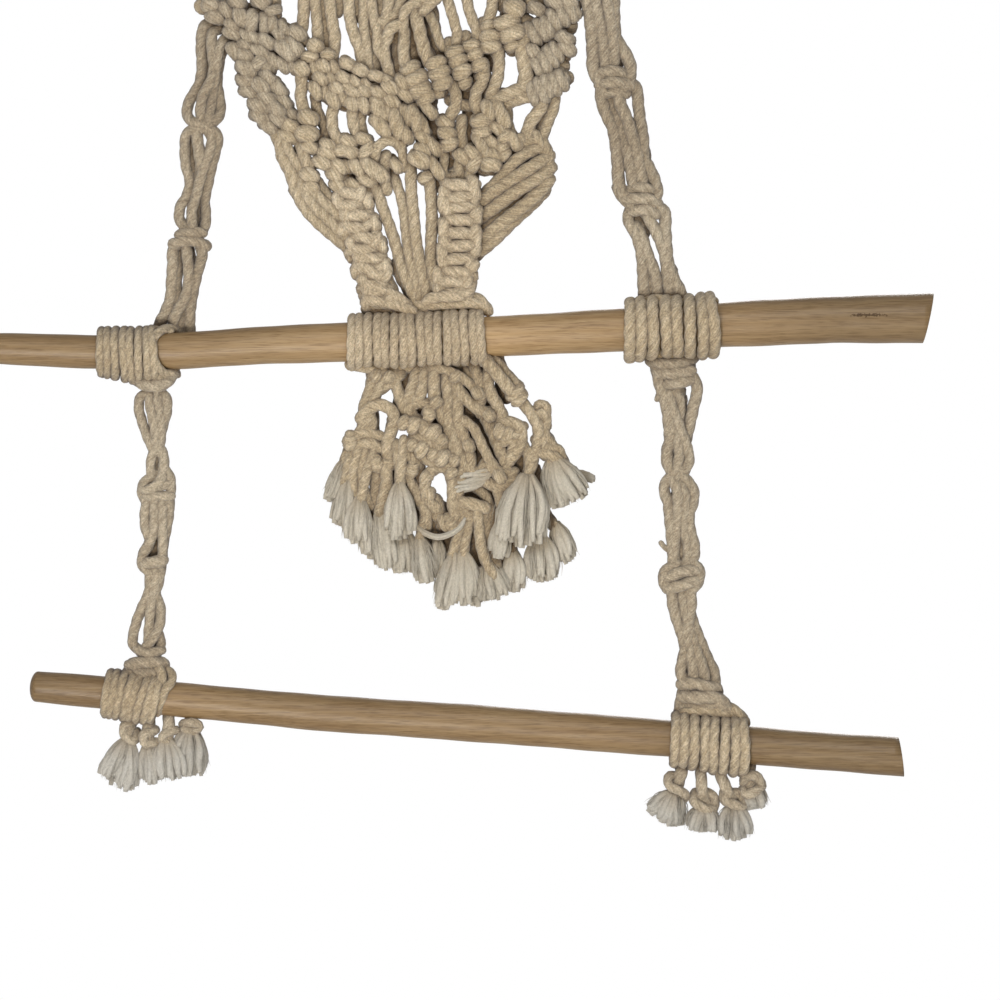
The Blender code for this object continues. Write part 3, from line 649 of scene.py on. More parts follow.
MIDDLE_HITCHES = [
    # left of the middle
    (281, 121, 300, 131, 13, 3), (295, 131, 319, 137, 17, 5), (299, 112, 318, 124, 15, 3),
    (280, 130, 297, 142, 11, 2), (301, 141, 318, 152, 13, 3), (318, 148, 337, 158, 13, 3),
    (321, 140, 337, 152, 12, 2), (333, 152, 353, 148, 13, 4), (313, 158, 333, 168, 13, 3),
    (331, 160, 348, 172, 13, 3), (301, 170, 319, 180, 14, 3), (303, 182, 319, 192, 13, 2),
    (339, 138, 358, 146, 13, 3), (354, 136, 373, 142, 12, 3), (341, 147, 359, 157, 13, 4),
    (359, 160, 374, 142, 12, 4), (350, 159, 365, 177, 12, 5), (361, 158, 381, 178, 14, 6),
    (371, 164, 388, 182, 13, 5), (357, 176, 377, 184, 12, 3), (342, 160, 354, 172, 11, 1),
    (328, 168, 343, 182, 13, 2), (331, 180, 347, 192, 13, 2), (345, 180, 362, 192, 13, 2),
    # the middle
    (370, 99, 390, 124, 13, 4), (372, 114, 391, 138, 14, 5), (384, 104, 396, 124, 11, 3),
    (392, 107, 402, 140, 14, 6), (402, 104, 413, 128, 11, 4), (411, 105, 420, 134, 12, 6),
    (401, 124, 411, 144, 12, 4), (418, 112, 428, 138, 11, 3), (414, 128, 432, 146, 12, 3),
    (422, 100, 436, 119, 11, 5), (409, 154, 431, 166, 16, 6), (417, 143, 430, 158, 13, 4),
    (426, 138, 442, 156, 12, 2), (419, 181, 432, 173, 11, 3), (428, 156, 444, 180, 11, 4),
    (391, 159, 402, 172, 11, 2),
    # right of the middle
    (439, 130, 456, 137, 13, 5), (441, 147, 458, 141, 13, 5), (438, 118, 454, 128, 12, 2),
    (455, 150, 470, 164, 12, 4), (465, 147, 481, 160, 12, 5), (468, 172, 481, 154, 12, 5),
    (471, 124, 492, 118, 14, 6), (473, 133, 492, 130, 13, 5), (475, 132, 490, 162, 11, 4),
    (485, 100, 493, 122, 13, 6), (494, 98, 508, 130, 13, 5), (489, 122, 508, 136, 12, 4),
    (483, 134, 500, 150, 11, 3), (486, 148, 500, 162, 12, 3), (480, 163, 502, 166, 14, 5),
    (497, 152, 508, 142, 12, 4), (498, 142, 512, 132, 12, 6), (507, 131, 521, 151, 12, 5),
    (499, 160, 509, 148, 12, 3), (511, 146, 526, 136, 12, 2),
]

# %% Carried cords
CARRIED_WIDTH = 17
CARRIED = [
    # along the borders, which they close from behind
    [(202, 6, -3), (226, 14, -3), (250, 22, -3), (284, 30, -3), (302, 40, -3)],
    [(214, 2, -6), (232, 26, -6), (238, 46, -6), (254, 66, -6), (262, 90, -6), (272, 112, -6),
     (282, 128, -5)],
    [(236, 6, -6), (250, 30, -7), (262, 56, -7), (270, 84, -7), (282, 108, -6), (300, 124, -5)],
    [(252, 16, -6), (268, 34, -7), (288, 52, -7), (310, 60, -6), (340, 70, -6), (372, 82, -6),
     (400, 88, -6)],
    [(300, 64, -6), (320, 78, -6), (346, 92, -6), (376, 100, -6), (402, 104, -6)],
    [(316, 88, -6), (336, 100, -6), (362, 106, -6), (392, 112, -5)],
    [(404, 60, -4), (412, 78, -4), (422, 96, -4), (430, 108, -4)],
    [(424, 50, -3), (436, 70, -3), (442, 90, -3)], [(450, 44, -3), (460, 62, -3), (467, 84, -4)],
    [(466, 38, -3), (475, 56, -3), (484, 76, -3)], [(484, 24, -3), (494, 42, -3), (498, 54, -3)],
    [(508, 0, -4), (508, 26, -4), (512, 48, -4)],
    [(522, 20, -3), (540, 26, -4), (562, 12, -4), (574, 6, -4)],
    [(526, 48, -3), (544, 60, -4), (560, 50, -4), (568, 42, -4)],
    [(528, 84, -3), (540, 92, -4), (556, 84, -4), (566, 78, -4)],
    [(288, 126, -5), (306, 140, -5), (330, 156, -5), (352, 166, -5), (376, 176, -5)],
    [(340, 140, -4), (360, 148, -4), (378, 166, -4)],
    [(376, 104, -4), (386, 126, -5), (398, 132, -5), (416, 124, -5), (424, 142, -4), (420, 160, -4)],
    [(446, 128, -4), (448, 142, -4), (462, 156, -4), (476, 158, -4)],
    [(480, 112, -4), (482, 130, -5), (492, 148, -5), (496, 166, -4), (484, 168, -4)],
    [(500, 104, -4), (502, 126, -5), (512, 142, -4)],
    # behind the hanging cords and the coils
    [(323, -36, -7), (323, 10, -7), (325, 46, -7)], [(339, -36, -7), (339, 6, -7)],
    [(355, -36, -7), (355, 2, -7), (356, 14, -7)],
    [(369, -36, -7), (369, 20, -7), (372, 50, -7), (374, 70, -6)],
    [(381, -36, -7), (382, 20, -7), (384, 50, -7)],
    [(396, -36, -7), (396, 10, -7), (398, 46, -8), (401, 76, -7)],
    [(412, -36, -8), (411, 16, -8), (413, 46, -8), (418, 78, -7)], [(424, -36, -7), (424, 8, -7)],
    [(430, 8, -8), (434, 34, -8), (441, 56, -8), (448, 76, -7)], [(500, -36, -6), (503, 4, -7)],
    [(521, -36, -6), (522, 10, -7)], [(540, -36, -6), (540, 6, -6)], [(560, -36, -6), (560, 2, -6)],
    [(454, 60, -9), (461, 84, -9), (470, 104, -9), (468, 130, -8), (470, 150, -8)],
    [(474, 60, -9), (477, 84, -9), (478, 112, -9)], [(486, 50, -9), (488, 64, -9)],
    [(488, 84, -9), (486, 112, -9)], [(224, 10, -7), (262, 12, -8), (276, 24, -7)],
    [(240, 56, -8), (256, 84, -8), (270, 104, -8)], [(258, 104, -7), (280, 118, -7)],
    [(292, 44, -8), (298, 66, -8)], [(306, 60, -8), (340, 84, -8), (390, 100, -8)],
    [(386, 80, -8), (410, 92, -8), (430, 100, -8)], [(412, 104, -8), (430, 130, -9), (440, 150, -8)],
    [(428, 118, -9), (436, 142, -9), (446, 152, -9)], [(300, 124, -8), (326, 146, -8), (346, 168, -8)],
    [(300, 150, -7), (308, 176, -7)], [(342, 146, -8), (372, 152, -8)], [(356, 172, -8), (380, 180, -8)],
    [(404, 120, -8), (402, 140, -8)], [(426, 160, -8), (450, 152, -8), (474, 156, -8)],
    [(432, 164, -8), (436, 184, -8)], [(452, 158, -9), (454, 180, -9)], [(470, 160, -8), (472, 190, -8)],
    [(476, 124, -9), (500, 130, -9), (514, 148, -8)], [(484, 146, -9), (504, 160, -8), (516, 152, -8)],
    [(530, 36, -7), (556, 22, -7), (572, 6, -6)], [(530, 62, -7), (560, 44, -7)],
    [(534, 92, -7), (560, 76, -7)], [(546, 30, -8), (556, 56, -8), (560, 80, -7)],
    [(526, 90, -7), (508, 98, -8), (494, 106, -8)], [(548, 96, -7), (546, 120, -7), (538, 140, -7)],
    [(526, 150, -7), (544, 152, -7)], [(544, 160, -7), (540, 184, -7), (514, 206, -6), (490, 226, -6)],
    [(530, 168, -7), (506, 190, -7), (484, 206, -6)], [(296, 190, -6), (320, 220, -6), (352, 246, -5)],
    [(524, 50, -6), (545, 46, -7), (562, 34, -6), (570, 26, -5)],
    [(530, 78, -6), (548, 76, -6), (562, 66, -5)], [(566, 10, -6), (562, 40, -7), (556, 66, -7)],
    [(560, 44, -6), (564, 54, -6)], [(284, 106, -6), (292, 122, -6)],
]

# %% Hitch loops
HITCH_FULLNESS = 1.16
HITCH_OVERLAP = 1.7
HITCH_SHORTEST = 1.6
HITCH_STATIONS = 15
HITCH_FRONT, HITCH_SWELL, HITCH_BACK, HITCH_SINK = 4.5, 0.12, 6.5, 1.5
HITCH_SKEW, HITCH_STRAY = 1.2, 0.3


def hitches(rows):
    """Each lump is one loop: over the front between its two ends, and back behind what it holds."""
    routes = []
    halfway = HITCH_STATIONS // 2
    for across, down, to_across, to_down, width, out in rows:
        start, end = np.array([across, down], float), np.array([to_across, to_down], float)
        width = width * HITCH_FULLNESS
        length = np.linalg.norm(end - start)
        along = (end - start) / length
        sideways = np.array([-along[1], along[0]])
        reach = max((length + 2 * HITCH_OVERLAP - width) / 2, HITCH_SHORTEST)
        points = []
        for station in range(HITCH_STATIONS):
            angle = math.radians(-200 + station * 30)
            flat, high = math.cos(angle), math.sin(angle)
            side = chance.uniform(-HITCH_STRAY, HITCH_STRAY) + HITCH_SKEW * (station - halfway) / halfway
            place = (start + end) / 2 + along * reach * math.copysign(abs(flat) ** 0.8,
                                                                      flat) + sideways * side
            bulge = HITCH_FRONT + HITCH_SWELL * width if high > 0 else HITCH_BACK
            points.append((*place, out - HITCH_SINK + bulge * high))
        routes.append(cord(points, width))
    return routes


print(len(LEFT_SHOULDER + SLANTING_ROWS + COILS + RIGHT_BORDER + MIDDLE_HITCHES), "hitches")

# %% [markdown]
# ## The panel's plain cords
# Between the knots the cords run free, which makes the openings. They hang from the heading, swing round
# the middle, and draw in below the shoulders towards the rod. Each row lists the places that a cord passes,
# with a few steps out or in where it crosses another, and then its thickness.

# %% Plain cords
HANGING_CORDS = [
    ([(212, -36, 0), (214, -16, 2), (214, 2, 0)], 12), ([(234, -36, 0), (236, -14, 0), (238, 4, 0)], 12),
    ([(254, -36, 0), (256, -14, 2), (258, 2, 0)], 12), ([(274, -36, 0), (275, -12, 0), (276, 16, 0)], 12),
    ([(304, -36, 0), (304, 0, 0), (303, 22, 1), (299, 40, 1)], 12.5),
    ([(315, -36, 0), (315, 0, 0), (317, 20, 1), (318, 42, 1)], 11.5),
    ([(330, -36, 0), (330, 0, 1), (332, 20, 1), (335, 38, 0), (333, 58, 0)], 12.5),
    ([(341, -36, -5), (340, -10, -5), (338, 12, -5)], 11),
    ([(350, -36, 0), (349, 0, 2), (350, 18, 2), (354, 34, 2), (360, 50, 1), (362, 68, 0)], 12),
    ([(363, -36, 0), (364, 6, 1), (364, 30, 1), (367, 48, 1), (369, 74, 0)], 11),
    ([(373, -36, 0), (371, -2, 3), (374, 18, 2), (378, 34, 2), (378, 48, 2), (386, 62, 1),
      (388, 80, 0)], 11.5),
    ([(390, -36, 0), (389, 0, 1), (386, 20, 1), (384, 34, -2)], 12),
    ([(386, 36, 2), (385, 52, 3), (388, 66, 2), (393, 82, 0)], 10.5),
    ([(386, 42, 3), (390, 31, 6), (399, 25, 6), (405, 32, 1)], 12),
    ([(403, -36, 0), (402, -8, 0), (398, 10, 0), (392, 18, 1), (380, 22, 1)], 12),
    ([(404, 26, 4), (404, 15, 7), (411, 6, 7), (424, 2, 4), (436, 0, 0)], 11),
    ([(405, 32, 0), (404, 46, 3), (404, 58, 4), (408, 70, 3)], 12.5),
    ([(417, -36, 0), (416, -6, 0), (414, 10, 1), (418, 24, 5), (421, 38, 6), (425, 52, 6),
      (430, 64, 4)], 13.5),
    ([(424, 11, 5), (430, 4, 6), (438, -4, 4), (440, -36, 0)], 12),
    ([(428, 12, 0), (434, 25, 1), (438, 38, 1), (443, 48, 0)], 10),
    ([(447, -36, 0), (448, 0, 1), (452, 14, 2), (457, 34, 2), (456, 46, 2)], 11),
    ([(468, -36, 0), (467, 0, 1), (471, 16, 2), (477, 32, 2), (476, 44, 2)], 11.5),
    ([(493, -36, 0), (493, 0, 1), (490, 16, 2), (486, 26, 1)], 12),
    ([(512, -36, 0), (512, -8, 2), (514, 2, 3)], 12), ([(530, -36, 0), (529, -10, 1), (531, 6, 0)], 12),
    ([(550, -36, 0), (549, -12, 0), (550, 0, 0)], 12), ([(568, -36, 0), (568, -12, 0), (566, 0, 0)], 12),
]
MIDDLE_CORDS = [
    ([(300, 70, 2), (302, 84, 3), (301, 98, 3), (305, 112, 3), (311, 124, 2)], 12.5),
    ([(315, 96, -1), (317, 110, -3), (324, 126, -5), (328, 140, -4)], 11),
    ([(334, 104, 1), (332, 118, 2), (334, 132, 3), (341, 145, 3), (350, 152, 1)], 12),
    ([(353, 106, 2), (353, 120, 3), (357, 136, 1)], 12.5),
    ([(363, 108, 0), (361, 124, 0), (366, 140, -1)], 10.5),
    ([(374, 161, 4), (377, 149, 8), (385, 142, 9), (395, 142, 5), (402, 150, 0)], 11),
    ([(404, 136, 2), (402, 150, 4), (405, 168, 2)], 9.5),
    ([(386, 156, 2), (384, 172, 3), (387, 190, 1)], 12),
    ([(392, 158, -5), (394, 174, -4), (399, 190, -2)], 10),
    ([(451, 82, 3), (455, 92, 5), (456, 104, 5), (449, 119, 3), (443, 130, 2)], 12.5),
    ([(462, 120, 2), (461, 134, 3), (464, 152, 2)], 12),
    ([(466, 86, -6), (468, 104, -7), (466, 130, -6)], 11),
    ([(484, 66, 3), (483, 80, 5), (476, 94, 5), (476, 106, 4), (484, 118, 2)], 12.5),
    ([(498, 50, 3), (499, 66, 4), (497, 80, 4), (491, 96, 3), (488, 106, 3)], 12.5),
    ([(526, 88, 4), (512, 93, 6), (500, 99, 5), (490, 106, 4)], 14),
    ([(527, 34, 2), (522, 46, 4), (524, 62, 5), (526, 76, 4), (522, 90, 3)], 15),
    ([(430, 104, -6), (434, 124, -8), (440, 140, -6)], 11),
    ([(272, 124, 1), (279, 142, 1), (284, 158, 1), (291, 172, 1), (301, 188, 0)], 13),
    ([(281, 134, 4), (287, 146, 4), (293, 158, 4), (301, 170, 2)], 10),
    ([(300, 142, 1), (305, 158, 3), (312, 176, 2), (314, 192, 0)], 13),
    ([(544, 96, 2), (541, 108, 3), (531, 122, 3), (525, 140, 1)], 13),
    ([(555, 90, -1), (554, 106, -1), (548, 122, -1), (542, 138, -1)], 11.5),
    ([(536, 134, 3), (540, 143, 4), (542, 152, 2)], 9), ([(445, 156, 2), (443, 170, 3), (448, 184, 1)], 10),
    ([(460, 158, 2), (459, 170, 3), (462, 184, 2)], 11),
    ([(546, 92, -2), (530, 96, 3), (515, 100, 3), (503, 106, 1)], 14),
    ([(503, 94, -1), (506, 110, 1), (508, 128, 1), (516, 142, 0)], 13),
    ([(508, 146, 1), (522, 143, 3), (540, 140, 0)], 12.5),
    ([(450, 100, -2), (459, 104, 1), (470, 106, -2)], 12),
    ([(347, 164, -3), (346, 180, -3), (346, 200, -2)], 12),
    ([(364, 182, 1), (368, 194, 0), (366, 206, 0)], 12),
]
FAN_CORDS = [
    ([(282, 156, 0), (291, 174, 1), (297, 192, 1), (306, 209, 2), (320, 224, 2), (336, 238, 1),
      (352, 251, -1), (364, 260, -4)], 13),
    ([(299, 172, -2), (303, 186, 3), (314, 205, 5), (330, 221, 5), (345, 235, 4), (360, 248, -2)], 12.5),
    ([(308, 176, -2), (314, 192, 4), (326, 204, 7), (340, 216, 6), (354, 230, 2)], 12),
    ([(318, 182, -3), (326, 194, 1), (338, 206, 3), (350, 214, 0)], 12),
    ([(296, 176, -5), (310, 204, -5), (350, 240, -5)], 16),
    ([(340, 180, -4), (346, 200, -4), (358, 236, -4), (372, 270, -4), (388, 304, -5)], 22),
    ([(541, 138, -1), (547, 150, 1), (549, 162, 1), (547, 176, 0), (542, 188, -2)], 11.5),
    ([(543, 146, 0), (530, 152, 5), (517, 160, 6), (506, 172, 4), (495, 184, 1), (482, 196, -4),
      (470, 205, -7)], 13),
    ([(549, 156, 0), (537, 164, 6), (523, 173, 8), (507, 183, 6), (491, 194, 2), (476, 206, -4)], 13.5),
    ([(551, 168, 0), (540, 177, 5), (524, 187, 7), (510, 196, 5), (494, 208, 2), (474, 222, -5)], 13.5),
    ([(549, 180, 0), (539, 192, 3), (525, 205, 4), (510, 217, 3), (494, 230, 2), (474, 246, -5)], 14.5),
    ([(545, 190, -3), (531, 205, -2), (512, 222, -1), (495, 239, 0), (479, 252, -3), (468, 262, -6)], 13.5),
    ([(540, 164, -6), (506, 196, -6), (474, 224, -7)], 17),
    ([(530, 154, -2), (514, 164, -2), (504, 174, -4)], 12),
    ([(540, 178, -7), (510, 208, -7), (474, 240, -7)], 17),
    ([(534, 194, -7), (506, 222, -7), (474, 250, -7)], 15),
]
LONG_CORDS = [
    ([(372, 178, -2), (378, 194, 2), (385, 214, 3), (391, 230, 3), (396, 246, 3), (400, 262, 3),
      (405, 276, 3), (411, 290, 2), (416, 308, 0)], 12),
    ([(394, 176, -2), (400, 194, 3), (404, 214, 3), (406, 232, 3), (408, 250, 4), (412, 268, 4),
      (416, 284, 3), (421, 304, 1)], 10.5),
    ([(411, 160, 0), (411, 182, 4), (412, 200, 4), (414, 220, 4), (416, 240, 5), (419, 258, 5),
      (422, 274, 4), (426, 290, 3), (428, 310, 0)], 12),
    ([(429, 174, 1), (431, 196, 3), (432, 220, 3), (431, 246, 4), (431, 262, 4), (434, 280, 4),
      (437, 298, 2)], 12),
    ([(472, 164, 1), (469, 182, 4), (471, 206, 2)], 11),
    ([(398, 266, -5), (412, 292, -5), (418, 310, -5)], 18),
    ([(430, 262, -6), (436, 290, -6), (438, 312, -6)], 14),
    ([(458, 180, -5), (460, 240, -6), (452, 306, -6)], 30),
    ([(382, 270, -4), (392, 290, 1), (398, 310, 2)], 13),
]
plain = HANGING_CORDS + MIDDLE_CORDS + FAN_CORDS + LONG_CORDS
print(len(plain), "plain cords")

# %% Chains of square knots above the rod
SINNETS = [
    (349, 200, -6, 36, 26), (356, 222, -8, 38, 27), (363, 244, -10, 38, 27), (369, 264, -10, 37, 24),
    (374, 280, -8, 36, 24), (378, 296, -6, 36, 22), (459, 192, 2, 42, 26), (461, 214, 2, 44, 28),
    (460, 240, 1, 45, 28), (458, 266, 2, 44, 28), (453, 288, 3, 43, 26),
]
SINNET_SIDES = [
    (445, 192, 444, 214, 12, 5), (445, 217, 445, 240, 12, 5), (442, 242, 444, 263, 11, 5),
    (438, 265, 439, 288, 11, 4), (474, 180, 476, 202, 11, 4), (477, 206, 477, 226, 11, 4),
    (477, 230, 476, 250, 11, 4), (471, 255, 470, 276, 11, 4), (338, 196, 345, 214, 12, 3),
    (345, 217, 352, 236, 12, 3), (352, 240, 358, 258, 12, 3), (358, 261, 364, 277, 11, 3),
    (366, 192, 370, 210, 11, 3), (371, 214, 378, 232, 11, 3), (379, 237, 384, 254, 11, 3),
    (383, 258, 389, 276, 11, 3),
]
SINNET_FOOT = [
    [(425, 309, 4), (428, 301, 9), (440, 297, 13), (456, 297, 13), (468, 292, 9), (472, 284, 3)],
    [(372, 288, 2), (386, 292, 8), (398, 298, 8), (408, 306, 6)],
    [(364, 296, 2), (378, 300, 7), (392, 304, 7)],
]
SINNET_CORD = 14.0


def square_knots(rows):
    """A chain of square knots, each the mirror of the one above it."""
    routes = []
    for index, (across, down, lean, wide, tall) in enumerate(rows):
        routes += square_knot(across, down, lean, wide, tall, index % 2 == 1, SINNET_CORD)
    return routes


# %% Panel pieces
PLAIN_FULLNESS = 1.06
border_routes = hitched_bar(*HEADING) + hitches(LEFT_SHOULDER + RIGHT_BORDER)
middle_routes = hitches(SLANTING_ROWS + COILS + MIDDLE_HITCHES)
plain_routes = cords(plain, PLAIN_FULLNESS) + [cord(points, CARRIED_WIDTH) for points in CARRIED]
sinnet_routes = square_knots(SINNETS) + hitches(SINNET_SIDES) + [cord(points) for points in SINNET_FOOT]
for name, routes, free_ends, cotton in (
    ("panel_borders", border_routes, False, side_cotton),
    ("panel_middle", middle_routes, False, cord_cotton),
    ("panel_cords", plain_routes, True, cord_cotton),
    ("panel_sinnets", sinnet_routes, True, lighter_cotton),
):
    dress(name, sweep(name, routes, cord_section, round_ends=free_ends), cotton, ["panel"])

# %% [markdown]
# ## The side chains
# Each chain is spaced square knots: two working cords are tied round two core cords, and then the pairs
# change places, which leaves a slim opening above the next knot. The chains hold the rods, so they start
# behind the heading or below a lashing and end in the next lashing. Each row is one cord's path and width,
# and the short level ones are the bars of the knots.

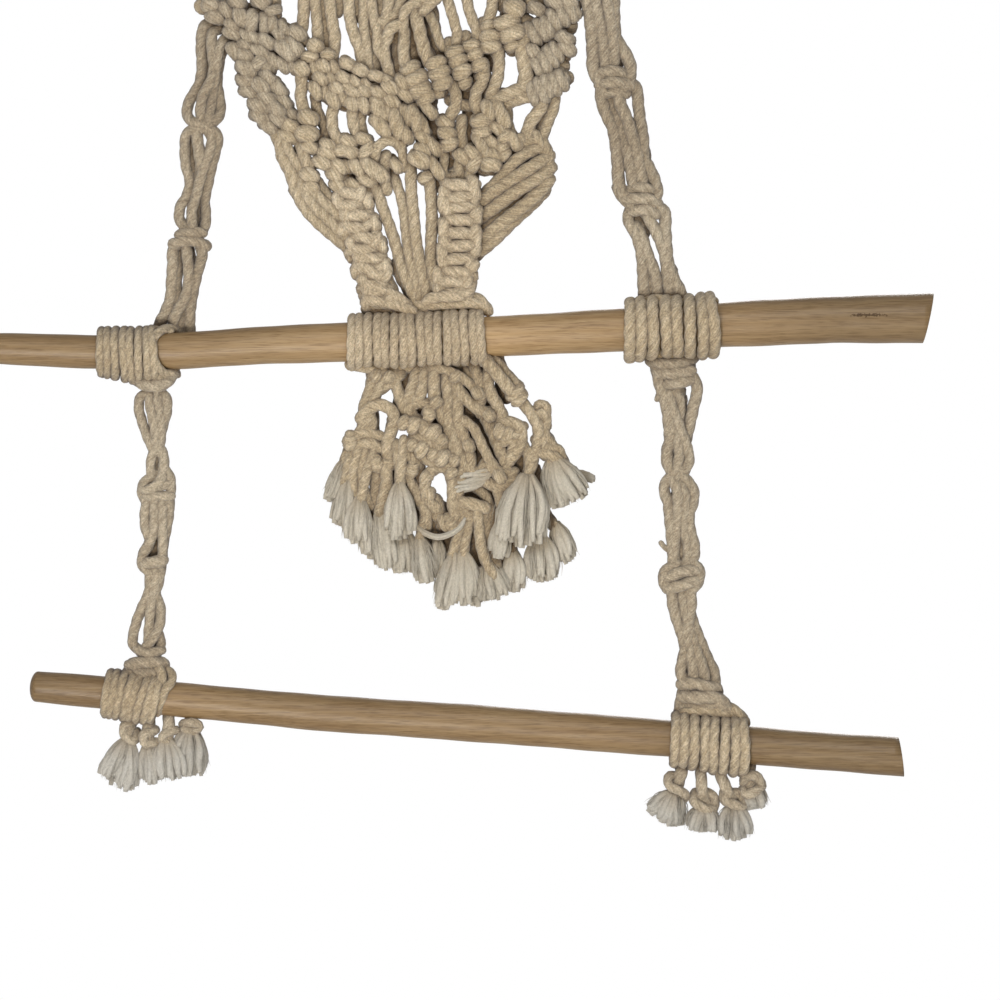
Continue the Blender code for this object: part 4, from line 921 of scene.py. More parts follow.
# %% Side chains
LOOSE_FULLNESS = 1.05
CHAINS = {
    "chain_left_upper": [
        ([(232, 12, -12), (216, 20, -8), (204, 26, -5), (201, 44, -4), (202, 66, -4), (199, 84, -3),
          (191, 98, -2), (187, 110, 0), (190, 120, 3), (199, 125, 6), (210, 124, 4)], 11.5),
        ([(228, 26, -10), (213, 32, -3), (212, 50, 1), (214, 68, 2), (211, 82, 3), (204, 94, 3),
          (201, 108, 4), (202, 124, 4)], 11.5),
        ([(240, 32, -11), (227, 36, -4), (220, 47, 1), (217, 64, 2), (215, 80, 1), (213, 94, 0),
          (211, 108, 2), (209, 122, 5), (210, 132, 4)], 10.5),
        ([(236, 40, -12), (224, 46, -6), (219, 64, -4), (217, 84, -4), (220, 102, -3), (220, 113, -1),
          (214, 122, 3), (203, 126, 4)], 11),
        ([(206, 30, -8), (207, 56, -8), (206, 84, -8), (208, 110, -7)], 12),
        ([(209, 129, 2), (197, 129, 6), (187, 134, 4), (185, 148, 1), (186, 166, 0), (190, 182, 0),
          (187, 196, 1), (180, 208, 1), (180, 220, 1), (187, 229, 3), (196, 233, 4)], 11),
        ([(196, 128, 4), (198, 142, 5), (200, 156, 4), (201, 170, 0), (197, 186, -2), (193, 200, -2)], 12),
        ([(206, 128, 4), (212, 138, 4), (210, 152, 4), (205, 166, 4), (200, 182, 4), (196, 198, 4),
          (192, 212, 4), (193, 228, 5)], 11),
        ([(197, 131, 1), (209, 129, 5), (218, 136, 3), (216, 150, 0), (212, 166, 0), (208, 184, -1),
          (205, 200, -2), (206, 216, -2), (204, 229, 1), (196, 235, 4)], 10.5),
        ([(192, 140, -6), (194, 176, -7), (194, 210, -6), (192, 230, -5)], 15),
        ([(180, 235, 3), (190, 233, 7), (202, 233, 4)], 12),
        ([(174, 244, 3), (186, 241, 7), (197, 242, 6), (206, 246, 2)], 12),
        ([(184, 240, 2), (174, 248, 0), (173, 264, 0), (172, 280, -2), (171, 296, -4), (166, 310, -8),
          (160, 322, -12), (154, 334, -16)], 12.5),
        ([(178, 250, -3), (178, 270, -3), (177, 288, -4), (178, 304, -6), (180, 322, -12),
          (180, 340, -22)], 9.5),
        ([(186, 244, 3), (188, 262, 3), (189, 282, 2), (186, 296, 1), (179, 308, -3), (173, 320, -8),
          (171, 338, -20)], 11.5),
        ([(200, 242, 3), (202, 256, 1), (198, 270, 0), (194, 286, 0), (191, 302, -4), (189, 318, -10),
          (189, 340, -24)], 11.5),
        ([(188, 250, -6), (190, 276, -7), (184, 312, -12), (178, 340, -24), (176, 356, -27)], 14),
    ],
    "chain_right_upper": [
        ([(579, -36, 0), (584, -10, 0), (589, 10, 1), (592, 32, 2), (593, 52, 2), (594, 70, 2),
          (599, 80, 3), (604, 92, 3)], 14),
        ([(590, -36, 1), (593, -12, 2), (597, 10, 3), (601, 30, 3), (604, 48, 3), (606, 66, 3)], 13),
        ([(603, -36, 2), (605, -10, 2), (609, 12, 3), (612, 32, 3), (614, 52, 3), (613, 70, 3)], 13),
        ([(613, -36, -1), (614, -8, -1), (614, 20, 0), (616, 38, 0), (623, 50, 1), (629, 62, 2),
          (630, 76, 3), (624, 88, 5), (616, 93, 4)], 13),
        ([(596, -36, -6), (598, 0, -6), (608, 40, -6), (616, 64, -5)], 16),
        ([(601, 74, 4), (611, 72, 8), (622, 74, 5)], 13),
        ([(600, 85, 3), (611, 83, 9), (623, 84, 7), (631, 86, 3)], 13),
        ([(606, 94, 4), (615, 92, 7), (626, 94, 3)], 11),
        ([(601, 88, 2), (602, 102, 1), (607, 116, 1), (613, 128, 1), (616, 146, 1), (618, 166, 1),
          (619, 184, 1), (625, 196, 3)], 13),
        ([(610, 92, 0), (613, 106, -2), (619, 122, 0), (624, 138, 1), (628, 154, 2), (631, 170, 2),
          (634, 186, 3)], 13),
        ([(617, 92, 4), (621, 106, 4), (627, 120, 4), (632, 136, 4), (637, 152, 3), (640, 170, 3),
          (643, 186, 3)], 13),
        ([(626, 80, 0), (636, 88, 1), (638, 102, 1), (640, 120, 1), (643, 140, 1), (644, 158, 0),
          (650, 170, 1), (655, 182, 2), (657, 194, 3), (651, 206, 5)], 12.5),
        ([(614, 100, -6), (622, 130, -7), (634, 166, -7), (640, 196, -6)], 15),
        ([(644, 150, -5), (646, 180, -5)], 14), ([(632, 189, 4), (642, 188, 7), (650, 190, 5)], 12),
        ([(626, 200, 3), (638, 199, 8), (650, 200, 7), (657, 204, 3)], 13),
        ([(633, 211, 4), (645, 210, 8), (656, 214, 4)], 12),
        ([(617, 188, 0), (623, 198, 2), (632, 206, 4)], 11.5),
        ([(640, 204, 2), (630, 210, 0), (629, 222, 0), (636, 234, 1), (641, 250, 1), (643, 270, 0),
          (644, 292, 0), (645, 306, -2)], 12.5),
        ([(637, 226, -2), (643, 240, 1), (648, 256, 1), (655, 274, 1), (657, 290, 0),
          (657, 306, -2)], 12.5),
        ([(646, 214, 4), (653, 226, 3), (660, 240, 2), (665, 256, 2), (667, 274, 1), (669, 290, 0),
          (669, 306, -2)], 12.5),
        ([(654, 206, 2), (664, 212, 1), (665, 228, 1), (666, 248, 1), (668, 264, 1), (674, 280, 1),
          (681, 294, 0), (684, 306, -3)], 13),
        ([(637, 214, -6), (644, 232, -6)], 14), ([(650, 280, -5), (652, 306, -5)], 16),
        ([(670, 270, -5), (675, 306, -5)], 16),
    ],
    "chain_left_lower": [
        ([(132, 374, -2), (142, 383, 6), (153, 386, 9), (164, 384, 7), (173, 374, -2)], 13.5),
        ([(136, 372, -4), (154, 377, 2), (172, 370, -6)], 15),
        ([(157, 378, 9), (157, 392, 8), (157, 408, 5)], 7),
        ([(154, 390, 4), (141, 397, 3), (139, 408, 2), (143, 424, 2), (148, 438, 3), (154, 450, 4)], 10.5),
        ([(149, 388, 4), (150, 402, 5), (153, 418, 5), (156, 434, 5), (156, 450, 4)], 10.5),
        ([(159, 388, 4), (159, 406, 3), (161, 424, 4), (161, 440, 4), (157, 452, 4)], 10.5),
        ([(157, 390, 3), (166, 397, 3), (167, 410, 2), (163, 426, 1), (160, 440, 1), (160, 452, 2)], 10.5),
        ([(160, 442, 5), (153, 454, 5), (151, 466, 5), (152, 478, 4)], 10),
        ([(155, 442, 4), (163, 454, 4), (164, 468, 5), (161, 480, 8), (152, 489, 9), (143, 490, 5)], 11),
        ([(158, 450, -2), (157, 470, -2), (158, 484, 0)], 12),
        ([(158, 474, 3), (146, 481, 4), (142, 490, 3), (146, 502, 3)], 10.5),
        ([(163, 466, 3), (170, 477, 4), (171, 490, 4), (168, 500, 4)], 10.5),
        ([(158, 488, 8), (168, 484, 6)], 10), ([(146, 497, 5), (158, 496, 9), (171, 496, 6)], 10),
        ([(147, 500, 4), (145, 514, 3), (146, 528, 3), (151, 541, 3)], 10.5),
        ([(155, 498, 5), (155, 514, 5), (154, 530, 5), (149, 544, 4), (143, 556, 4), (143, 565, 4),
          (151, 573, 4)], 11),
        ([(163, 498, 5), (163, 516, 5), (163, 536, 5), (163, 552, 5), (160, 564, 6)], 10.5),
        ([(170, 498, 2), (169, 514, 2), (166, 532, 1), (163, 548, 0), (162, 564, 1), (159, 578, 2)], 10.5),
        ([(156, 500, -5), (155, 530, -6), (154, 560, -6)], 14),
        ([(145, 563, 5), (154, 562, 9), (163, 560, 6)], 12),
        ([(149, 566, 3), (150, 580, 3), (149, 592, 3), (144, 604, 3), (138, 618, 2), (134, 632, 2),
          (133, 643, 2), (141, 652, 4)], 10.5),
        ([(155, 566, 4), (156, 580, 4), (153, 594, 4), (151, 608, 5), (150, 622, 5), (149, 636, 5),
          (149, 647, 4)], 11),
        ([(161, 568, 2), (159, 582, 2), (156, 594, 2), (160, 604, 3), (161, 616, 4), (159, 628, 6),
          (153, 639, 8), (147, 646, 6)], 10.5),
        ([(154, 600, -2), (156, 620, -2), (156, 644, -2)], 9),
        ([(155, 628, 2), (160, 636, 2), (161, 645, 2), (157, 654, 3)], 10),
        ([(138, 649, 5), (148, 653, 9), (161, 650, 4)], 11),
        ([(131, 665, 4), (143, 662, 9), (154, 662, 8), (163, 664, 3)], 14),
        ([(129, 673, 2), (146, 673, 8), (166, 675, 3)], 14), ([(150, 655, -3), (148, 680, -6)], 20),
    ],
    "chain_right_lower": [
        ([(650, 350, -6), (656, 366, 0), (659, 380, 2), (663, 394, 3), (667, 408, 3), (669, 424, 3),
          (670, 440, 3), (667, 452, 3), (668, 464, 3), (674, 474, 4)], 13),
        ([(651, 361, 0), (663, 364, 6), (678, 364, 8), (693, 358, 2)], 13),
        ([(658, 373, 3), (674, 374, 9), (690, 371, 6)], 13),
        ([(667, 384, 4), (678, 383, 9), (690, 380, 6)], 12),
        ([(670, 350, -6), (672, 372, -4), (676, 392, -3)], 22),
        ([(684, 372, 3), (694, 379, 3), (697, 391, 3), (694, 404, 2), (691, 418, 1), (688, 432, 0),
          (685, 444, 0)], 12),
        ([(690, 352, -6), (690, 366, 0), (688, 378, 4)], 12),
        ([(664, 386, 4), (659, 394, 4), (657, 399, 3)], 6),
        ([(672, 386, 2), (679, 396, 3), (681, 408, 2), (680, 420, 2), (682, 434, 1)], 9.5),
        ([(668, 392, 3), (672, 406, 4), (677, 420, 5), (682, 434, 5), (687, 448, 5), (689, 460, 4),
          (684, 472, 4)], 11),
        ([(668, 412, 2), (672, 426, 4), (677, 440, 5), (679, 454, 6), (677, 468, 6), (676, 480, 6)], 11),
        ([(680, 400, -6), (678, 430, -7), (676, 460, -6), (678, 480, -6)], 16),
        ([(680, 470, 5), (668, 479, 4), (664, 489, 3), (668, 502, 3)], 11.5),
        ([(676, 472, 4), (686, 480, 5), (693, 490, 3), (693, 502, 3), (689, 514, 3), (690, 530, 2),
          (694, 544, 2), (694, 556, 2), (686, 566, 4)], 11.5),
        ([(673, 480, 6), (677, 490, 8), (678, 504, 6), (677, 522, 4), (675, 540, 3), (674, 556, 3),
          (676, 570, 4)], 12),
        ([(680, 484, 6), (685, 496, 6), (685, 510, 5), (684, 526, 3), (687, 542, 3), (688, 556, 3),
          (684, 568, 5)], 11),
        ([(668, 498, 3), (669, 514, 3), (671, 532, 3), (672, 548, 3), (673, 564, 3)], 11.5),
        ([(680, 490, -5), (681, 530, -6), (682, 566, -5)], 18),
        ([(670, 551, 3), (664, 547, 4), (661, 543, 4)], 5.5),
        ([(676, 564, 4), (666, 571, 3), (664, 581, 3), (671, 591, 4)], 12.5),
        ([(690, 562, 3), (698, 569, 3), (698, 580, 3), (691, 590, 4)], 12.5),
        ([(668, 578, 5), (680, 572, 9), (695, 570, 5)], 13),
        ([(668, 588, 4), (682, 585, 9), (695, 580, 5)], 13), ([(670, 580, 0), (692, 579, 0)], 14),
        ([(672, 588, 3), (673, 604, 3), (677, 620, 3), (682, 634, 3), (685, 648, 3), (682, 662, 3),
          (681, 674, 3), (688, 686, 5)], 12),
        ([(682, 588, 3), (684, 606, 3), (688, 622, 3), (692, 636, 3), (697, 652, 4), (702, 666, 5),
          (705, 680, 5)], 12),
        ([(690, 588, 4), (691, 604, 3), (689, 618, 4), (687, 632, 5), (689, 648, 5), (692, 662, 5),
          (694, 678, 5)], 12),
        ([(690, 598, 0), (691, 614, 0), (696, 630, 1), (702, 645, 1), (708, 659, 1), (714, 672, 1),
          (715, 686, 3)], 11.5),
        ([(680, 596, -5), (688, 640, -6), (700, 690, -5)], 17),
        ([(682, 684, 4), (694, 683, 9), (706, 686, 9), (716, 688, 4)], 13),
        ([(683, 696, 3), (698, 697, 10), (714, 697, 9), (724, 703, 3)], 14),
        ([(682, 692, 1), (680, 704, 0), (678, 716, -3)], 11),
        ([(684, 706, 1), (704, 706, 6), (722, 706, 5), (733, 714, 0)], 13),
        ([(690, 690, -5), (694, 720, -8)], 22), ([(712, 690, -5), (716, 722, -8)], 22),
    ],
}
for name, rows in CHAINS.items():
    mesh = sweep(name, cords(rows, LOOSE_FULLNESS), cord_section, round_ends=True)
    dress(name + "_cord", mesh, side_cotton, [name])

# %% [markdown]
# ## The rods
# Both rods are peeled, smoothed sticks: nearly straight, a little thicker to the right, cut on the slant at
# that end and worn round at the other. A rod is swept like a cord, but with forty-eight plain sides, and
# the slanting cut is made with a plane. The grain runs along the wood.

# %% Rod paths
UPPER_ROD = [(-102, 348, 27), (0, 348.5, 31), (90, 352, 34), (180, 351, 36), (260, 345.4, 38),
             (490, 336.7, 40.5), (720, 325, 44.5), (830, 319.8, 47), (940, 318, 49.5)]
LOWER_ROD = [(30, 686, 30), (90, 691.3, 33), (320, 712.9, 36), (470, 723, 37), (700, 740.8, 37),
             (800, 749.6, 38), (912, 757.6, 39)]
ROD_SIDES = 48
ROD_SPACING = 9.0
ROUNDING = 7.0
ROUNDING_STATIONS = 8
# How far a rod swells and shrinks along its length, and over how many steps.
SWELLS = ((0.012, 23), (0.008, 9.1))
rod_section = section("rod_section", ROD_SIDES)


def rod_at(rod, across):
    """The rod's middle line and thickness at a place across the board."""
    spots = np.array(rod, float)
    return np.interp(across, spots[:, 0], spots[:, 1]), np.interp(across, spots[:, 0], spots[:, 2])


def rod_mesh(name, rod, cut, lean):
    """A rod with a rounded left end and a slanting saw cut at the right."""
    left, right = rod[0][0], rod[-1][0]
    angles = np.arange(1, ROUNDING_STATIONS + 1) * math.pi / (2 * ROUNDING_STATIONS)
    straight = np.arange(left + ROUNDING + ROD_SPACING, right + 0.1, ROD_SPACING)
    across = np.concatenate((left + ROUNDING * (1 - np.cos(angles)), straight))
    shares = np.concatenate((np.sin(angles), np.ones(len(straight))))
    middle, thickness = rod_at(rod, across)
    knobs = 1 + sum(share * np.sin(across / steps) for share, steps in SWELLS)
    data = swept_curve(name, rod_section)
    places = board(np.column_stack((across, middle, np.zeros(len(across)))))
    add_spline(data, places, thickness / 2 * STEP * shares * knobs)
    mesh = mesh_of(name, data)
    made = welded(mesh)
    middle, _ = rod_at(rod, cut)
    tilt = math.radians(lean)
    result = bmesh.ops.bisect_plane(
        made, geom=made.verts[:] + made.edges[:] + made.faces[:], plane_co=board((cut, middle, 0))[0],
        plane_no=(math.cos(tilt), 0, -math.sin(tilt)), clear_outer=True)
    rim = [part for part in result["geom_cut"] if isinstance(part, bmesh.types.BMEdge)]
    bmesh.ops.contextual_create(made, geom=rim)
    for face in made.faces:
        face.smooth = len(face.verts) <= 4
    made.to_mesh(mesh)
    made.free()
    return mesh


# %% [markdown]
# ## Wood
# The wood is a warm tan with a fine, stretched grain, a few darker streaks, and a short dark check near the
# upper rod's cut end. Handling has left it satin rather than matt. No stick is of one shade all along, and
# here a ramp along the rod's length makes it paler beside the middle lashing and deeper towards its ends:
# partly the wood's own shade, and partly painted light, a painted glow there and painted dimming at the
# ends.

# %% Wood material
CHECK_PLACE, CHECK_LENGTH, CHECK_HEIGHT, CHECK_RAGGED = (867, 316, 0), 38, 1.2, 7
GRAIN_SHARE, BAND_SHARE = 0.65, 0.35
PER_THOUSAND = 0.001


def wood_material(name, tone_and_light_stops):
    """Tan wood with broad bands, fine grain and pores along it, and one dark check.

    The stops are pairs: a place across the board, in thousands of steps, and how pale the wood is painted
    there, partly its own shade and partly painted light.
    """
    material, tree, shader = start_material(name)
    place = node(tree, "ShaderNodeTexCoord").outputs["Object"]

    def grain_of(fineness, stretch, detail):
        lie = node(tree, "ShaderNodeMapping",
                   {"Vector": place, "Scale": (fineness / stretch, fineness, fineness)})
        return node(tree, "ShaderNodeTexNoise", {
            "Vector": lie.outputs[0], "Scale": 1.0, "Detail": detail, "Roughness": 0.65}).outputs[0]

    bands, grain, pores = grain_of(85.0, 26.0, 2.0), grain_of(760.0, 60.0, 4.0), grain_of(1900.0, 20.0, 2.0)
    tone = math_node(tree, "MULTIPLY_ADD", grain, GRAIN_SHARE,
                     math_node(tree, "MULTIPLY", bands, BAND_SHARE))
    colour = ramp(tree, tone, (0.34, (0.327, 0.198, 0.0885)),
                  (0.50, (0.417, 0.27, 0.129)), (0.66, (0.498, 0.339, 0.1725)))
    speck = ramp(tree, pores, (0.32, (0.70, 0.66, 0.60)), (0.50, (1, 1, 1)), (0.68, (1.08, 1.08, 1.07)))
    colour = mix_colour(tree, 1.0, colour, speck, blend="MULTIPLY")
    parts = node(tree, "ShaderNodeSeparateXYZ", {0: place})
    along = math_node(tree, "MULTIPLY_ADD", parts.outputs[0], PER_THOUSAND / STEP,
                      PER_THOUSAND * MIDDLE_ACROSS)
    # Painted light along the rod: the ramp mixes the wood's own change of shade with a painted glow beside
    # the middle lashing and painted dimming towards the ends.
    shades = [(across, (tone_and_light,) * 3) for across, tone_and_light in tone_and_light_stops]
    colour = mix_colour(tree, 1.0, colour, ramp(tree, along, *shades), blend="MULTIPLY")
    spot = board(CHECK_PLACE)[0]
    nibbles = node(tree, "ShaderNodeTexNoise", {"Vector": place, "Scale": 1500.0, "Detail": 2.0}).outputs[0]
    ragged = math_node(tree, "MULTIPLY_ADD", nibbles, CHECK_RAGGED * STEP, -CHECK_RAGGED / 2 * STEP)
    ahead = math_node(tree, "SUBTRACT", parts.outputs[0], spot[0])
    ahead = math_node(tree, "MULTIPLY", ahead, 2 / (CHECK_LENGTH * STEP))
    above = math_node(tree, "ADD", math_node(tree, "SUBTRACT", parts.outputs[2], spot[2]), ragged)
    above = math_node(tree, "DIVIDE", above, CHECK_HEIGHT * STEP)
    reach = math_node(tree, "ADD", math_node(tree, "POWER", ahead, 2), math_node(tree, "POWER", above, 2))
    check = math_node(tree, "MULTIPLY", math_node(tree, "LESS_THAN", reach, 1), 0.85)
    check = math_node(tree, "MULTIPLY", check, math_node(tree, "LESS_THAN", parts.outputs[1], 0))
    colour = mix_colour(tree, check, colour, (0.05, 0.028, 0.014, 1))
    tree.links.new(colour, shader.inputs["Base Color"])
    tree.links.new(math_node(tree, "MULTIPLY_ADD", check, 0.5, 0.38), shader.inputs["Roughness"])
    shader.inputs["Specular IOR Level"].default_value = 0.3
    height = math_node(tree, "ADD", grain, pores)
    bump = node(tree, "ShaderNodeBump", {"Height": height, "Strength": 0.3, "Distance": 0.0004})
    tree.links.new(bump.outputs[0], shader.inputs["Normal"])
    return material


UPPER_TONE_AND_LIGHT = ((0.08, 0.60), (0.25, 0.69), (0.49, 0.98), (0.57, 0.79), (0.74, 0.66), (0.84, 0.49))
LOWER_TONE_AND_LIGHT = ((0.04, 0.47), (0.19, 0.65), (0.25, 0.59), (0.60, 0.61), (0.67, 0.52), (0.84, 0.46))
upper_wood = wood_material("upper_wood", UPPER_TONE_AND_LIGHT)
lower_wood = wood_material("lower_wood", LOWER_TONE_AND_LIGHT)
dress("rod_upper_wood", rod_mesh("rod_upper", UPPER_ROD, 928, 12), upper_wood, ["rod_upper"])
dress("rod_lower_wood", rod_mesh("rod_lower", LOWER_ROD, 901, -8), lower_wood, ["rod_lower"])

# %% [markdown]
# ## Lashings
# Each rod is held by cord wound round and round it, with both ends tucked in. The turns lie side by side,
# slanting a little. Where a lashing holds a chain's own cords as well, its turns hang lower.

# %% Lashings
Lashing = namedtuple("Lashing", "name rod start end turns cord slant drop")
LASHINGS = [
    Lashing("lashing_left", UPPER_ROD, 96, 160, 8, 9.4, -2.5, 7),
    Lashing("lashing_centre", UPPER_ROD, 346, 487, 16, 10.3, -2.6, 0),
    Lashing("lashing_right", UPPER_ROD, 622, 720, 8, 12.9, -3.4, 0),
    Lashing("lashing_lower_left", LOWER_ROD, 102, 162, 8, 9.6, 5.0, 3),
    Lashing("lashing_lower_right", LOWER_ROD, 668, 750, 8, 11.6, -1.2, 4),
]
# Each lashing's ends, and the cords that cross it above or below: places, width.
LASHING_ENDS = {
    "lashing_left": [
        ([(182, 338, -20), (176, 329, -12), (166, 329, 2), (157, 335, 14), (153, 348, 19), (156, 362, 19),
          (164, 373, 8), (176, 374, -6)], 10),
        ([(126, 371, 0), (142, 375, 5), (158, 376, 8), (170, 374, 3)], 12),
        ([(170, 331, 0), (150, 330, 5)], 9),
    ],
    "lashing_centre": [
        ([(366, 308, -2), (376, 304, 5), (392, 304, 9), (412, 311, 9)], 12),
        ([(372, 298, 0), (388, 299, 6), (404, 306, 8)], 12),
        ([(414, 306, 2), (430, 305, 7), (452, 304, 8), (476, 304, 6), (488, 311, 0)], 12),
        ([(470, 296, -1), (480, 301, 3), (487, 309, 1)], 13),
        ([(370, 310, -6), (420, 308, -4), (482, 308, -4)], 18),
        ([(352, 364, -4), (400, 366, -2), (484, 360, -4)], 16),
        ([(350, 365, 4), (366, 369, 6), (384, 369, 4)], 9),
        ([(484, 355, 4), (492, 360, 2), (497, 367, 0)], 10),
    ],
    "lashing_right": [
        ([(640, 303, 0), (656, 300, 6), (672, 302, 6), (686, 302, 0)], 12),
        ([(690, 306, 0), (700, 300, 4), (714, 301, 0)], 10), ([(638, 306, -6), (686, 304, -6)], 16),
        ([(644, 353, -2), (672, 354, 4), (702, 350, -2)], 14),
    ],
    "lashing_lower_left": [
        ([(158, 668, -2), (170, 671, 6), (173, 679, 10), (166, 690, 17), (161, 702, 16),
          (158, 712, 6)], 10),
        ([(148, 666, 0), (160, 668, 8), (163, 680, 14)], 11),
        ([(112, 712, -8), (128, 713, -6), (142, 714, -8)], 9),
    ],
    "lashing_lower_right": [
        ([(676, 716, 2), (690, 711, 7), (712, 711, 8), (736, 716, 3)], 11),
        ([(726, 706, 0), (738, 713, 5), (745, 722, 4)], 12),
        ([(680, 762, -6), (700, 764, -4), (736, 766, -6)], 10),
    ],
}

# %% Windings
TURN_STATIONS = 14
LASHING_SPACING = 2.2 * STEP
SWAY, JOSTLE = 0.8, 0.5


def winding(lashing):
    """One cord wound round a rod: its turns slant, and no two are quite alike."""
    points = []
    first, last = lashing.start + lashing.cord / 2, lashing.end - lashing.cord / 2
    for index in range(lashing.turns * TURN_STATIONS + 1):
        turn = index / TURN_STATIONS
        angle = 2 * math.pi * turn + math.pi
        along = (turn - 0.5) / (lashing.turns - 1)
        across = first + (last - first) * min(max(along, 0), 1)
        across += SWAY * math.sin(turn * 2.3) + JOSTLE * math.sin(turn * 13.7)
        across += lashing.slant * min(1, 0.4 + 1.2 * along) * math.sin(angle)
        middle, thickness = rod_at(lashing.rod, across)
        reach = thickness / 2 + lashing.cord * (0.46 + 0.05 * math.sin(turn * 5.1))
        down = middle - reach * math.sin(angle)
        if math.sin(angle) < 0:
            down -= lashing.drop * min(1, max(0, 2.2 * along)) * math.sin(angle)
        points.append((across, down, reach * math.cos(angle)))
    return cord(points, lashing.cord)


for lashing in LASHINGS:
    routes = [winding(lashing)] + cords(LASHING_ENDS[lashing.name])
    mesh = sweep(lashing.name, routes, taut_section, LASHING_SPACING, TAUT_LAY, round_ends=True)
    cotton = {"lashing_centre": tight_cotton, "lashing_right": wound_cotton}.get(lashing.name, cord_cotton)
    dress(lashing.name + "_cord", mesh, cotton, [lashing.name])

# %% [markdown]
# ## The tail
# Below the rod the panel's cords come out of the lashing and are knotted together once more, loosely, so
# they stray, cross and knot here and there before they end in tassels. The front cords are laid one by one
# with their knots; a layer of plainer cords behind them closes the work, as the crowded cords there do.

